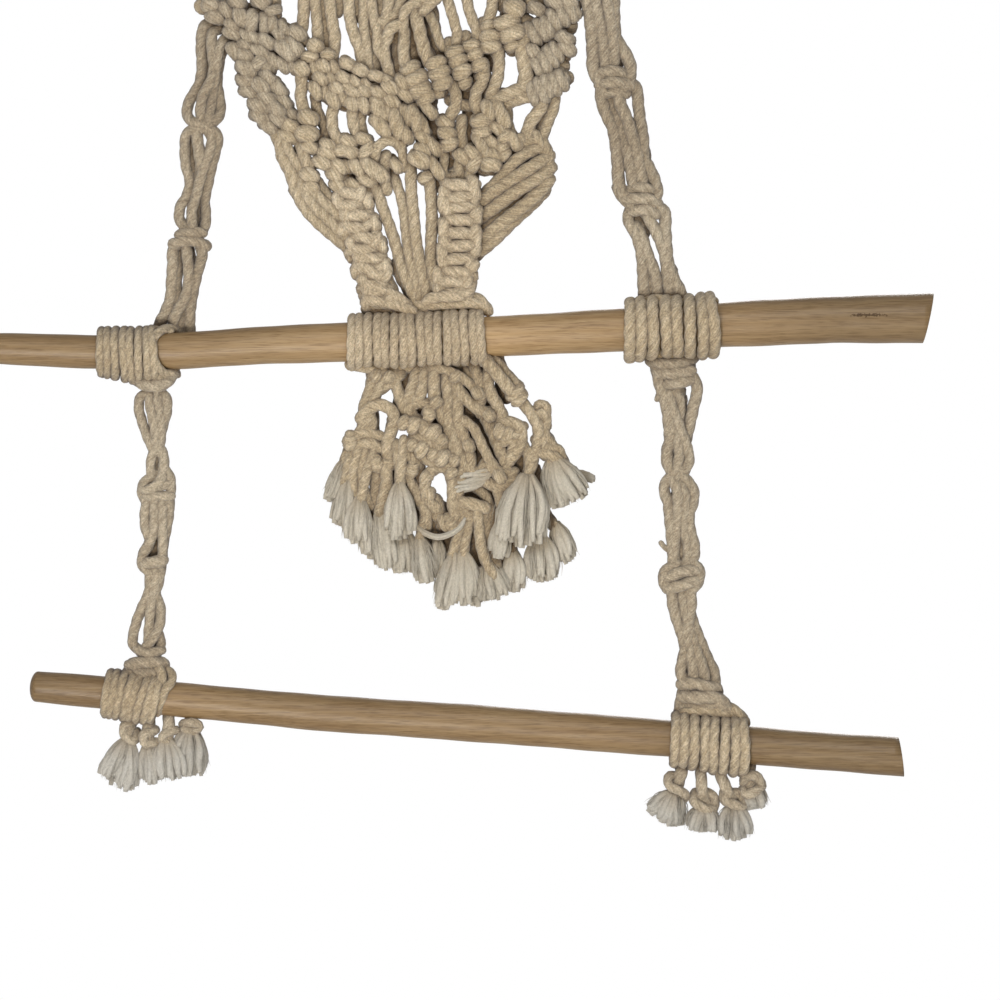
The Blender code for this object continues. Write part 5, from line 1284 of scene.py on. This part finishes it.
# %% Tail
TAIL_KNOTS = [
    # across, down, size, lean, out
    (350, 441, 18, 0, 7), (376, 463, 16, 20, 7), (388, 463, 18, -15, 4), (412, 469, 16, -10, 8),
    (429, 413, 16, 0, 10), (516, 394, 25, 30, 5), (451, 523, 18, 30, 7), (500, 476, 19, 20, 6),
    (548, 452, 22, 60, 2),
]
TAIL_CORDS = [
    ([(374, 358, -4), (373, 376, 1), (370, 392, 3), (365, 405, 4), (364, 418, 4), (362, 430, 4),
      (356, 440, 5)], 13),
    ([(384, 358, -2), (384, 376, 4), (380, 387, 5), (374, 399, 5), (369, 412, 5), (368, 426, 4),
      (368, 438, 4)], 12),
    ([(406, 362, -6), (400, 375, 0), (390, 383, 4), (380, 390, 2)], 12),
    ([(392, 360, 0), (395, 380, 2), (399, 394, 4), (403, 407, 4), (411, 416, 4), (422, 421, 5)], 12.5),
    ([(361, 418, 5), (369, 409, 7), (380, 405, 9), (390, 409, 9), (395, 419, 8), (392, 430, 7),
      (388, 440, 6), (387, 450, 5), (388, 458, 3)], 13),
    ([(370, 410, 3), (372, 422, 3), (371, 436, 3)], 11),
    ([(373, 400, -5), (374, 420, -5), (374, 440, -5)], 11),
    ([(399, 392, -6), (397, 408, -6), (391, 424, -5), (390, 448, -5)], 10.5),
    ([(392, 420, 3), (402, 421, 5), (414, 424, 6), (426, 424, 6)], 11),
    ([(388, 450, 2), (398, 445, 5), (408, 442, 6), (418, 440, 5)], 11),
    ([(354, 436, 6), (366, 433, 6), (380, 436, 5)], 11),
    ([(356, 447, 5), (368, 443, 7), (380, 448, 4)], 12),
    ([(418, 360, -2), (415, 380, 3), (411, 392, 5), (408, 402, 4), (412, 414, 3)], 12.5),
    ([(425, 360, 0), (423, 382, 6), (421, 394, 8), (416, 404, 6)], 11.5),
    ([(414, 398, 6), (422, 404, 8), (431, 402, 6)], 10),
    ([(435, 360, 2), (434, 382, 7), (435, 398, 7), (439, 410, 6), (444, 422, 4)], 13),
    ([(446, 362, 2), (447, 386, 6), (448, 402, 6), (447, 416, 5), (448, 430, 4), (452, 446, 4)], 12.5),
    ([(428, 366, 4), (442, 369, 9), (455, 374, 9), (466, 381, 8), (475, 390, 6), (478, 402, 5),
      (480, 414, 3)], 10),
    ([(454, 378, 4), (459, 390, 6), (466, 399, 6), (474, 406, 6), (484, 412, 4), (494, 411, 3)], 12.5),
    ([(474, 364, 0), (479, 382, 5), (482, 393, 5), (479, 404, 3)], 12.5),
    ([(462, 362, -3), (470, 376, 3), (486, 378, 3)], 9),
    ([(492, 360, 2), (488, 378, 5), (490, 391, 6), (496, 403, 6), (502, 415, 6), (504, 426, 5)], 12.5),
    ([(482, 356, 8), (492, 368, 10), (502, 380, 10), (511, 391, 8)], 13.5),
    ([(496, 362, 2), (508, 376, 3), (519, 387, 3)], 12),
    ([(520, 400, 4), (530, 412, 5), (538, 427, 5), (538, 442, 5), (534, 456, 6), (530, 470, 8)], 12.5),
    ([(536, 412, 0), (539, 404, 4), (546, 406, 5), (547, 415, 3)], 9),
    ([(537, 420, 1), (541, 412, 6), (546, 416, 4), (547, 426, 1)], 10),
    ([(505, 432, 4), (514, 443, 5), (513, 452, 5), (508, 462, 4)], 14),
    ([(544, 420, 0), (544, 434, 1), (552, 446, 2), (561, 457, 3), (564, 466, 3)], 13),
    ([(536, 440, 1), (546, 448, 4), (558, 450, 4), (562, 460, 3)], 12),
    ([(500, 423, 5), (509, 422, 9), (519, 426, 9), (522, 436, 7), (519, 448, 6), (512, 458, 6)], 12),
    ([(496, 432, 5), (506, 436, 10), (516, 434, 9), (523, 427, 5)], 12),
    ([(500, 443, 5), (509, 440, 8), (519, 441, 6)], 11.5),
    ([(512, 426, 3), (519, 438, 3), (526, 450, 4), (529, 462, 5), (527, 476, 7)], 11),
    ([(464, 420, 5), (474, 429, 8), (481, 443, 9), (488, 457, 9), (496, 469, 8), (503, 480, 6)], 10.5),
    ([(486, 418, 2), (493, 433, 3), (499, 448, 3), (505, 463, 4), (508, 478, 4)], 13.5),
    ([(457, 386, 3), (457, 406, 4), (459, 424, 4), (465, 440, 5), (469, 454, 4), (471, 470, 4)], 13.5),
    ([(446, 412, 3), (451, 430, 4), (457, 446, 5), (463, 461, 5), (472, 471, 5), (484, 474, 5)], 13.5),
    ([(404, 423, 5), (417, 424, 9), (429, 429, 10), (438, 438, 9), (443, 448, 6)], 13.5),
    ([(414, 437, 6), (422, 438, 10), (432, 443, 10), (441, 450, 7)], 12.5),
    ([(412, 446, 6), (425, 449, 9), (438, 452, 7)], 12),
    ([(418, 452, 5), (428, 460, 7), (440, 462, 7), (452, 457, 5)], 12.5),
    ([(450, 444, 5), (457, 456, 7), (449, 466, 7), (437, 468, 6), (428, 475, 8), (425, 487, 8),
      (428, 499, 7), (436, 508, 5)], 12),
    ([(444, 464, 5), (451, 476, 5), (453, 490, 6), (453, 504, 6), (456, 517, 7)], 12.5),
    ([(462, 470, 4), (461, 484, 4), (458, 500, 4), (462, 512, 5)], 13),
    ([(486, 462, 4), (480, 472, 5), (474, 484, 3)], 12),
    ([(386, 468, 6), (387, 482, 6), (384, 497, 6), (380, 512, 5)], 13.5),
    ([(376, 468, 2), (376, 486, 1), (374, 506, 0)], 13),
    ([(396, 444, 4), (398, 458, 7), (400, 472, 8), (400, 486, 9)], 11.5),
    ([(404, 448, 4), (411, 456, 6), (417, 464, 5)], 13),
    ([(406, 474, 5), (413, 487, 5), (420, 500, 4), (426, 514, 4), (426, 528, 3)], 12.5),
    ([(420, 462, 1), (420, 480, 0), (430, 500, 1), (436, 516, 2)], 12),
    ([(486, 466, 5), (496, 471, 8), (508, 472, 6)], 12),
    ([(486, 482, 5), (497, 486, 8), (509, 483, 7), (514, 473, 5)], 12.5),
    ([(497, 486, 7), (500, 498, 7), (503, 511, 6), (507, 524, 5)], 12),
    ([(507, 486, 5), (509, 499, 5), (511, 514, 4)], 12),
    ([(460, 502, 6), (472, 504, 10), (485, 508, 7)], 13),
    ([(476, 486, 2), (486, 497, 1), (491, 512, 1), (494, 528, 1)], 12.5),
    ([(441, 518, 6), (445, 527, 9), (455, 530, 9), (462, 521, 7), (458, 512, 6)], 9),
    ([(467, 508, 6), (461, 526, 7), (456, 543, 8), (451, 560, 8)], 10.5),
    ([(471, 510, 5), (468, 528, 6), (464, 545, 7), (463, 562, 7)], 10.5),
    ([(477, 508, 6), (479, 528, 7), (481, 545, 7), (486, 561, 7), (493, 574, 6)], 11.5),
    ([(484, 510, 2), (488, 530, 2), (492, 548, 2), (497, 566, 1)], 12),
    ([(436, 500, 1), (440, 514, 0), (442, 526, -1)], 14),
    ([(353, 446, 5), (348, 464, 5), (345, 480, 5), (343, 496, 4)], 10),
    ([(361, 442, 6), (355, 461, 7), (353, 478, 7), (356, 494, 7), (362, 506, 6)], 10.5),
    ([(368, 440, 4), (363, 458, 5), (361, 476, 5), (365, 492, 5), (370, 506, 4)], 10.5),
]
TAIL_BACKING = [
    [(374, 356, -8), (373, 394, -7), (366, 428, -6)], [(388, 356, -9), (387, 380, -8)],
    [(403, 356, -9), (404, 392, -9), (404, 416, -8)], [(419, 356, -9), (418, 410, -8)],
    [(434, 356, -9), (435, 404, -8), (424, 436, -8)], [(449, 356, -9), (451, 420, -8), (463, 470, -8)],
    [(464, 356, -9), (471, 396, -8), (466, 430, -8)], [(480, 356, -9), (485, 402, -9)],
    [(496, 356, -7), (506, 396, -8)], [(366, 440, -7), (362, 470, -7), (352, 500, -7)],
    [(378, 440, -7), (378, 490, -7), (372, 524, -7)], [(500, 432, -8), (500, 470, -8)],
    [(410, 447, -7), (412, 480, -7), (424, 520, -8), (424, 540, -8)],
    [(430, 446, -8), (456, 456, -8), (464, 490, -8), (462, 530, -8)],
    [(482, 424, -9), (490, 450, -9), (500, 488, -8)],
    [(512, 438, -7), (522, 460, -7), (522, 500, -8), (510, 540, -9)],
    [(474, 480, -8), (478, 520, -8), (476, 560, -8)], [(490, 486, -8), (496, 520, -8), (500, 560, -8)],
    [(546, 438, -8), (556, 462, -8)], [(441, 508, -8), (445, 536, -9), (446, 570, -9)],
    [(434, 516, -6), (438, 550, -7)], [(444, 418, -9), (446, 452, -9)],
    [(472, 428, -10), (480, 452, -10), (490, 474, -10)], [(478, 394, -10), (494, 408, -10)],
    [(508, 438, -10), (516, 468, -10), (512, 492, -10)], [(398, 450, -7), (398, 480, -7)],
    [(534, 470, -9), (536, 520, -9)], [(462, 436, -8), (480, 470, -8)],
]
TAIL_HITCHES = [
    (409, 417, 400, 429, 11.5, 9), (418, 418, 411, 434, 12, 10), (428, 423, 422, 435, 10.5, 9.5),
    (437, 425, 429, 442, 12.5, 10), (445, 436, 437, 446, 11, 8.5), (418, 440, 409, 450, 10.5, 9),
    (427, 441, 418, 458, 12, 10), (437, 449, 430, 461, 11, 9), (447, 450, 439, 467, 12.5, 9.5),
    (457, 455, 452, 467, 10.5, 8), (502, 424, 498, 439, 11, 8.5), (511, 426, 507, 441, 10.5, 8),
    (440, 398, 432, 408, 10.5, 9), (380, 370, 374, 382, 11, 5), (392, 372, 386, 384, 11, 5),
    (496, 470, 504, 484, 11, 9.5), (456, 468, 448, 478, 10, 8), (430, 472, 422, 484, 10.5, 8),
    (428, 488, 432, 500, 10.5, 8), (486, 411, 494, 420, 11, 7), (460, 372, 452, 382, 11, 8),
    (474, 388, 482, 398, 11, 8), (466, 440, 472, 452, 11, 7),
]
STRAY_END = [(416, 526, 10), (425, 533, 13), (438, 537, 14), (452, 533, 15), (461, 526, 14), (465, 518, 11)]
tail_routes = cords(TAIL_CORDS, LOOSE_FULLNESS) + [cord(points, CARRIED_WIDTH) for points in TAIL_BACKING]
tail_routes += hitches(TAIL_HITCHES)
for knot in TAIL_KNOTS:
    tail_routes += overhand(*knot)
tail_mesh = sweep("tail_cords", tail_routes, cord_section, round_ends=True)
dress("tail_cords", tail_mesh, cord_cotton, ["tail"])

# %% [markdown]
# ## Tassels
# Where a cord ends it is unlaid and combed, and the loosened cotton opens into a soft pale brush with a
# ragged edge. Each tassel is its leading cord with the tying knot, one or more brushes of locks that taper
# and wave a little, and finer stray fibres over them.

# %% Tassel table
# Each tassel's brushes: the root, the tip, how wide the tips spread, and how far out the brush stands.
Brush = namedtuple("Brush", "across down to_across to_down spread out")
BRUSHES = {
    "tassel_tail_01": [(345, 458, 328, 503, 19, 2), (344, 470, 334, 520, 12, -1)],
    "tassel_tail_02": [(349, 478, 342, 529, 24, 5)],
    "tassel_tail_03": [(360, 496, 356, 545, 30, 9), (366, 510, 368, 556, 20, 6)],
    "tassel_tail_04": [(400, 482, 400, 541, 34, 11)],
    "tassel_tail_05": [(380, 504, 387, 571, 30, 3), (376, 514, 376, 562, 20, -3)],
    "tassel_tail_06": [(420, 536, 428, 584, 28, 7), (438, 538, 436, 576, 24, 2)],
    "tassel_tail_07": [(404, 528, 405, 575, 36, -4)],
    "tassel_tail_08": [(454, 552, 442, 611, 24, 9), (448, 560, 440, 596, 18, 4)],
    "tassel_tail_09": [(463, 550, 466, 606, 36, 6), (470, 560, 476, 608, 24, 3)],
    "tassel_tail_10": [(488, 560, 500, 600, 34, 1), (484, 566, 486, 602, 22, 4)],
    "tassel_tail_11": [(527, 474, 519, 548, 58, 11), (504, 514, 497, 561, 24, 8)],
    "tassel_tail_12": [(512, 548, 514, 593, 30, -5)],
    "tassel_tail_13": [(540, 534, 543, 583, 40, -7)],
    "tassel_tail_14": [(556, 522, 568, 564, 28, -12)],
    "tassel_tail_15": [(550, 458, 562, 509, 36, 6), (556, 458, 580, 502, 32, 8)],
    "tassel_tail_16": [(570, 470, 596, 481, 10, -14)],
    "tassel_left_01": [(127, 738, 104, 780, 24, 3), (130, 738, 123, 792, 32, 1)],
    "tassel_left_02": [(148, 741, 153, 785, 27, 1)],
    "tassel_left_03": [(166, 738, 172, 781, 42, 3)],
    "tassel_left_04": [(190, 728, 186, 778, 40, 0), (194, 728, 200, 773, 20, -4)],
    "tassel_right_01": [(676, 790, 673, 827, 28, 2), (674, 791, 648, 813, 20, 3),
                        (674, 791, 662, 823, 20, 4)],
    "tassel_right_02": [(704, 804, 702, 833, 38, 4)],
    "tassel_right_03": [(733, 802, 735, 841, 38, 2)],
    "tassel_right_04": [(752, 784, 757, 810, 30, -1)],
}
# The cords that lead to each tassel and the turns of its knot: places, width.
LEADS = {
    "tassel_tail_01": [([(354, 436, 2), (348, 450, 2), (344, 462, 2)], 11)],
    "tassel_tail_02": [([(356, 440, 4), (352, 462, 5), (349, 482, 5)], 11)],
    "tassel_tail_03": [([(374, 450, 4), (366, 476, 8), (361, 500, 9)], 11.5)],
    "tassel_tail_04": [([(404, 440, 8), (402, 462, 10), (400, 488, 11)], 11.5)],
    "tassel_tail_05": [([(384, 462, 2), (384, 486, 2), (380, 510, 2)], 12.5)],
    "tassel_tail_06": [([(430, 500, 2), (424, 520, 5), (420, 538, 7)], 11)],
    "tassel_tail_07": [([(418, 480, -3), (408, 506, -4), (404, 532, -4)], 12)],
    "tassel_tail_08": [([(462, 520, 7), (456, 540, 9), (452, 558, 9)], 10.5)],
    "tassel_tail_09": [([(470, 516, 5), (466, 538, 6), (464, 556, 6)], 11)],
    "tassel_tail_10": [([(484, 530, 1), (488, 548, 1), (489, 566, 1)], 11)],
    "tassel_tail_11": [([(530, 452, 6), (530, 466, 9), (527, 480, 11)], 12)],
    "tassel_tail_12": [([(506, 480, -2), (508, 516, -5), (512, 552, -5)], 13)],
    "tassel_tail_13": [([(512, 480, -4), (526, 510, -7), (538, 538, -7)], 13)],
    "tassel_tail_14": [([(514, 476, -6), (536, 500, -11), (554, 526, -12)], 13)],
    "tassel_tail_15": [([(541, 426, 1), (544, 444, 4), (552, 462, 6)], 13),
                       ([(538, 452, 5), (552, 456, 9), (566, 466, 5)], 12)],
    "tassel_tail_16": [([(544, 444, -6), (558, 460, -12), (574, 471, -14)], 11)],
    "tassel_left_01": [([(132, 712, -6), (132, 722, 2), (128, 732, 3), (129, 742, 2)], 12),
                       ([(136, 720, 2), (125, 725, 6), (125, 735, 6), (134, 741, 5), (137, 732, 0)], 10)],
    "tassel_left_02": [([(150, 712, -6), (149, 724, 2), (148, 736, 3), (149, 746, 1)], 13.5),
                       ([(155, 730, 3), (144, 735, 8), (146, 743, 7), (157, 742, 3)], 11)],
    "tassel_left_03": [([(168, 712, -6), (169, 724, 3), (168, 734, 3), (167, 744, 3)], 13),
                       ([(176, 730, 2), (165, 734, 8), (162, 739, 7), (172, 743, 4)], 9.5)],
    "tassel_left_04": [([(190, 708, -8), (191, 722, 0), (191, 734, -1)], 13),
                       ([(183, 724, -1), (192, 722, 6), (200, 726, 3), (194, 731, 3), (185, 729, 3)], 10)],
    "tassel_right_01": [([(681, 758, -4), (681, 772, 5), (678, 782, 4), (676, 794, 2)], 13.5),
                        ([(680, 777, 0), (669, 776, 5), (669, 785, 9), (679, 790, 10), (686, 796, 4),
                          (680, 799, 0)], 10.5)],
    "tassel_right_02": [([(701, 758, -4), (701, 780, 6), (703, 798, 4)], 12.5),
                        ([(706, 792, 2), (714, 797, 3), (714, 806, 3)], 11),
                        ([(702, 796, 3), (708, 806, 3)], 12),
                        ([(695, 793, 1), (694, 801, 6), (702, 807, 9), (712, 810, 6), (714, 804, 0)], 11)],
    "tassel_right_03": [([(718, 758, -4), (721, 776, 5), (727, 790, 5), (732, 800, 3)], 13),
                        ([(728, 793, 1), (739, 794, 3), (741, 804, 2)], 11),
                        ([(724, 792, 1), (725, 800, 6), (734, 804, 9), (742, 806, 5), (744, 798, 0)], 11)],
    "tassel_right_04": [([(750, 758, -6), (750, 776, 2), (750, 790, 1)], 13),
                        ([(744, 782, 2), (746, 776, 6), (756, 776, 7), (761, 784, 3)], 11.5),
                        ([(743, 790, 2), (746, 794, 7), (755, 791, 7), (761, 786, 2)], 11.5)],
}
print(len(LEADS), "tassels of", sum(len(rows) for rows in BRUSHES.values()), "brushes")

# %% Combed ends
LOCKS_PER_STEP, LOCK_WIDTH, LOCK_STRAY = 0.75, 6.8, 0.02
FIBRES_PER_STEP, FIBRE_WIDTH, FIBRE_STRAY = 2.8, 1.1, 0.05
LOCK_SPACING, FIBRE_SPACING = 4 * STEP, 4.5 * STEP
FEWEST_LOCKS = 3
BRUSH_DEPTH, BRUSH_SWELL, BRUSH_DEEPEST, FIBRE_DEPTH = 4.0, 0.08, 8.5, 2.6
FRAY_LOCKS, FRAY_LOCK_WIDTH, FRAY_WIDTH = 9, 4.2, 3.2
LOCK_SHARES = (0.5, 0.8, 0.95, 1.0, 0.95, 0.6)
FIBRE_SHARES = (0.7, 1.0, 1.0, 0.9, 0.6, 0.1)
# How far a lock has spread at each share of its length, up to its tip.
FANNING = ((0, 0.22), (0.12, 0.42), (0.3, 0.72), (0.55, 0.93), (0.8, 1.0))


def combed(brush, count, thickness, shares, reach_out, stray):
    """Locks from the knot to the tips: their fan, their waves, and how far each falls short or strays."""
    root = np.array([brush.across, brush.down, brush.out], float)
    tip = np.array([brush.to_across, brush.to_down, brush.out], float)
    length = np.linalg.norm(tip - root)
    fall = (tip - root) / length
    sideways, front = np.array([fall[1], -fall[0], 0.0]), np.array([0.0, 0.0, 1.0])
    routes = []
    for index in range(count):
        place = 2 * (index + 0.5) / count - 1
        layer = chance.uniform(-1, 1)
        edge = math.sqrt(1 - layer * layer * 0.45)
        spread = place * edge * (brush.spread - thickness) / 2 * chance.uniform(0.94, 1.0 + stray)
        share = 1 - 0.1 * place ** 2 - chance.uniform(0, 0.13 + stray)
        wave, phase = chance.uniform(0.5, 2.0), chance.uniform(0, 2 * math.pi)
        points = []
        for step, bow in (*FANNING, (1.0, 1.0 + stray)):
            side = spread * bow + wave * math.sin(phase + 5.2 * step) * (0.3 + step)
            depth = layer * reach_out * min(1.0, 0.45 + 1.3 * step) + 0.6 * math.sin(phase * 2 + 4 * step)
            points.append(root + fall * (length * share * step) + sideways * side + front * depth)
        routes.append(Route(points, thickness / 2 * chance.uniform(0.85, 1.2), shares, phase))
    return routes


# %% Frays at the tail
FRAY_GAP = 1.6
tail_frays = []
for shift in (-FRAY_GAP, 0, FRAY_GAP):
    strand = [(across, down + shift, out - abs(shift)) for across, down, out in STRAY_END]
    tail_frays.append(cord(strand, FRAY_WIDTH))
for row in ((494, 472, 457, 481, 16, 9), (490, 478, 452, 491, 15, 8)):
    tail_frays += combed(Brush(*row), FRAY_LOCKS, FRAY_LOCK_WIDTH, LOCK_SHARES, 3.0, 0.06)
fray_mesh = sweep("tail_frays", tail_frays, round_section)
dress("tail_frays", fray_mesh, frayed_cotton, ["tail"])

# %% Tassel pieces
for name, leads in LEADS.items():
    locks, fibres = [], []
    under_tail = name.startswith("tassel_tail")
    cotton = frayed_cotton if under_tail else grey_cotton
    knot_cotton = cord_cotton if under_tail else side_cotton
    for row in BRUSHES[name]:
        brush = Brush(*row)
        depth = min(BRUSH_DEEPEST, BRUSH_DEPTH + brush.spread * BRUSH_SWELL)
        count = int(LOCKS_PER_STEP * brush.spread) + FEWEST_LOCKS
        locks += combed(brush, count, LOCK_WIDTH, LOCK_SHARES, depth, LOCK_STRAY)
        count = int(FIBRES_PER_STEP * brush.spread)
        fibres += combed(brush, count, FIBRE_WIDTH, FIBRE_SHARES, depth + FIBRE_DEPTH, FIBRE_STRAY)
    mesh = sweep(name + "_locks", locks, round_section, LOCK_SPACING)
    dress(name + "_locks", mesh, cotton, [name])
    mesh = sweep(name + "_fibres", fibres, fibre_section, FIBRE_SPACING)
    dress(name + "_fibres", mesh, cotton, [name])
    mesh = sweep(name + "_head", cords(leads), cord_section, round_ends=True)
    dress(name + "_head", mesh, knot_cotton, [name])

# %% [markdown]
# ## Painted shade in the openwork
# Knotted cord is darkest where it dips between its neighbours, because little light gets there, and the
# cottons paint that shade into their colour. Each cotton surface is compared with the front of the work
# round it, or with the back where it faces the wall, and how far it lies below is kept on the mesh for the
# materials to turn into painted shade.

# %% Crevices
CELL = 1.0
NEIGHBOURHOOD = 6
DEEPEST = 11.0
EMPTY = -999.0


def boxed(grid, reach):
    """The sum over a square round every cell."""
    for axis in (0, 1):
        run = np.cumsum(grid, axis=axis)
        ahead = np.roll(run, -reach, axis=axis)
        behind = np.roll(run, reach + 1, axis=axis)
        grid = ahead - behind
    return grid


def mark_crevices(pieces):
    """Stores on every vertex how far it lies below the work's surface, from 0 to 1, for the painted shade.
    """
    places, normals = [], []
    for piece in pieces:
        count = len(piece.data.vertices)
        place, normal = np.empty(count * 3), np.empty(count * 3)
        piece.data.vertices.foreach_get("co", place)
        piece.data.vertices.foreach_get("normal", normal)
        places.append(place.reshape(-1, 3))
        normals.append(normal.reshape(-1, 3))
    every = np.vstack(places)
    facing = -np.vstack(normals)[:, 1]
    margin = 4 * NEIGHBOURHOOD
    columns = ((every[:, 0] - every[:, 0].min()) / (CELL * STEP)).astype(int) + margin
    rows = ((every[:, 2].max() - every[:, 2]) / (CELL * STEP)).astype(int) + margin
    out = -every[:, 1] / STEP
    deep = np.zeros(len(every))
    for side, share in ((1, np.clip(0.5 + facing, 0, 1)), (-1, np.clip(0.5 - facing, 0, 1))):
        surface = np.full((rows.max() + margin, columns.max() + margin), EMPTY)
        np.maximum.at(surface, (rows, columns), side * out)
        for axis in (0, 1, 0, 1):
            surface = np.maximum(surface, np.maximum(np.roll(surface, 1, axis), np.roll(surface, -1, axis)))
        filled = (surface > EMPTY).astype(float)
        around = boxed(surface * filled, NEIGHBOURHOOD) / np.maximum(boxed(filled, NEIGHBOURHOOD), 1)
        deep += share * np.clip((around[rows, columns] - side * out + 1.0) / DEEPEST, 0, 1)
    deep = np.clip(deep, 0, 1)
    start = 0
    for piece in pieces:
        count = len(piece.data.vertices)
        layer = piece.data.attributes.new("crevice", "FLOAT", "POINT")
        layer.data.foreach_set("value", deep[start:start + count].astype(np.float32))
        start += count
    return round(float(deep.mean()), 3)


soft_pieces = [piece for piece in bpy.data.objects
               if piece.type == "MESH" and piece.data.materials and piece.data.materials[0] in cottons]
print(len(soft_pieces), "cotton pieces; mean depth", mark_crevices(soft_pieces))

# %% [markdown]
# ## Light and room
# The hanging is lit as in a studio. The key light stands in front of it and a little below, so the rods and
# the cords' undersides stay open. A broad cooler fill comes from above and a third light reaches the back.
# The background is plain and bright, and a pale floor lies too far below for shadows on it to show.

# %% Floor, world and lights
FLOOR_DOWN = -1.2


def soft_light(name, place, size, power, colour):
    """A round, soft lamp that faces the middle of the view."""
    data = bpy.data.lights.new(name, "AREA")
    data.shape = "DISK"
    data.size = size
    data.energy = power
    data.color = colour
    light = bpy.data.objects.new(name, data)
    bpy.context.scene.collection.objects.link(light)
    light.location = place
    light.rotation_euler = (view_centre - Vector(place)).to_track_quat("-Z", "Y").to_euler()


soft_light("key_light", (-0.4, -1.85, -1.05), 0.5, 26, (1.0, 0.97, 0.93))
soft_light("fill_light", (0.4, -2.8, 1.8), 1.6, 38, (0.95, 0.97, 1.0))
soft_light("back_light", (0.7, 2.6, 0.7), 1.4, 26, (1.0, 0.98, 0.96))

floor_mesh = bmesh.new()
bmesh.ops.create_grid(floor_mesh, x_segments=1, y_segments=1, size=3,
                      matrix=Matrix.Translation((0, 0, FLOOR_DOWN)))
floor_data = bpy.data.meshes.new("floor")
floor_mesh.to_mesh(floor_data)
floor_mesh.free()
floor = bpy.data.objects.new("floor", floor_data)
bpy.context.scene.collection.objects.link(floor)
floor_material, _, floor_shader = start_material("pale_floor")
floor_shader.inputs["Base Color"].default_value = (0.86, 0.86, 0.85, 1)
floor_shader.inputs["Roughness"].default_value = 0.9
floor_data.materials.append(floor_material)


def studio_world():
    """White behind the hanging, and an even, dimmer light on it."""
    world = bpy.data.worlds.new("studio")
    world.use_nodes = True
    tree = world.node_tree
    tree.nodes.clear()
    path = node(tree, "ShaderNodeLightPath")
    seen = node(tree, "ShaderNodeBackground", {"Color": (1, 1, 1, 1), "Strength": 1.0})
    lit = node(tree, "ShaderNodeBackground", {"Color": (0.97, 0.98, 1.0, 1), "Strength": 0.42})
    mixed = node(tree, "ShaderNodeMixShader", {
        0: path.outputs["Is Camera Ray"], 1: lit.outputs[0], 2: seen.outputs[0]})
    leave = node(tree, "ShaderNodeOutputWorld")
    tree.links.new(mixed.outputs[0], leave.inputs[0])
    return world


bpy.context.scene.world = studio_world()
bpy.context.scene.view_settings.view_transform = "Standard"
print("lights:", [light.name for light in bpy.data.lights])
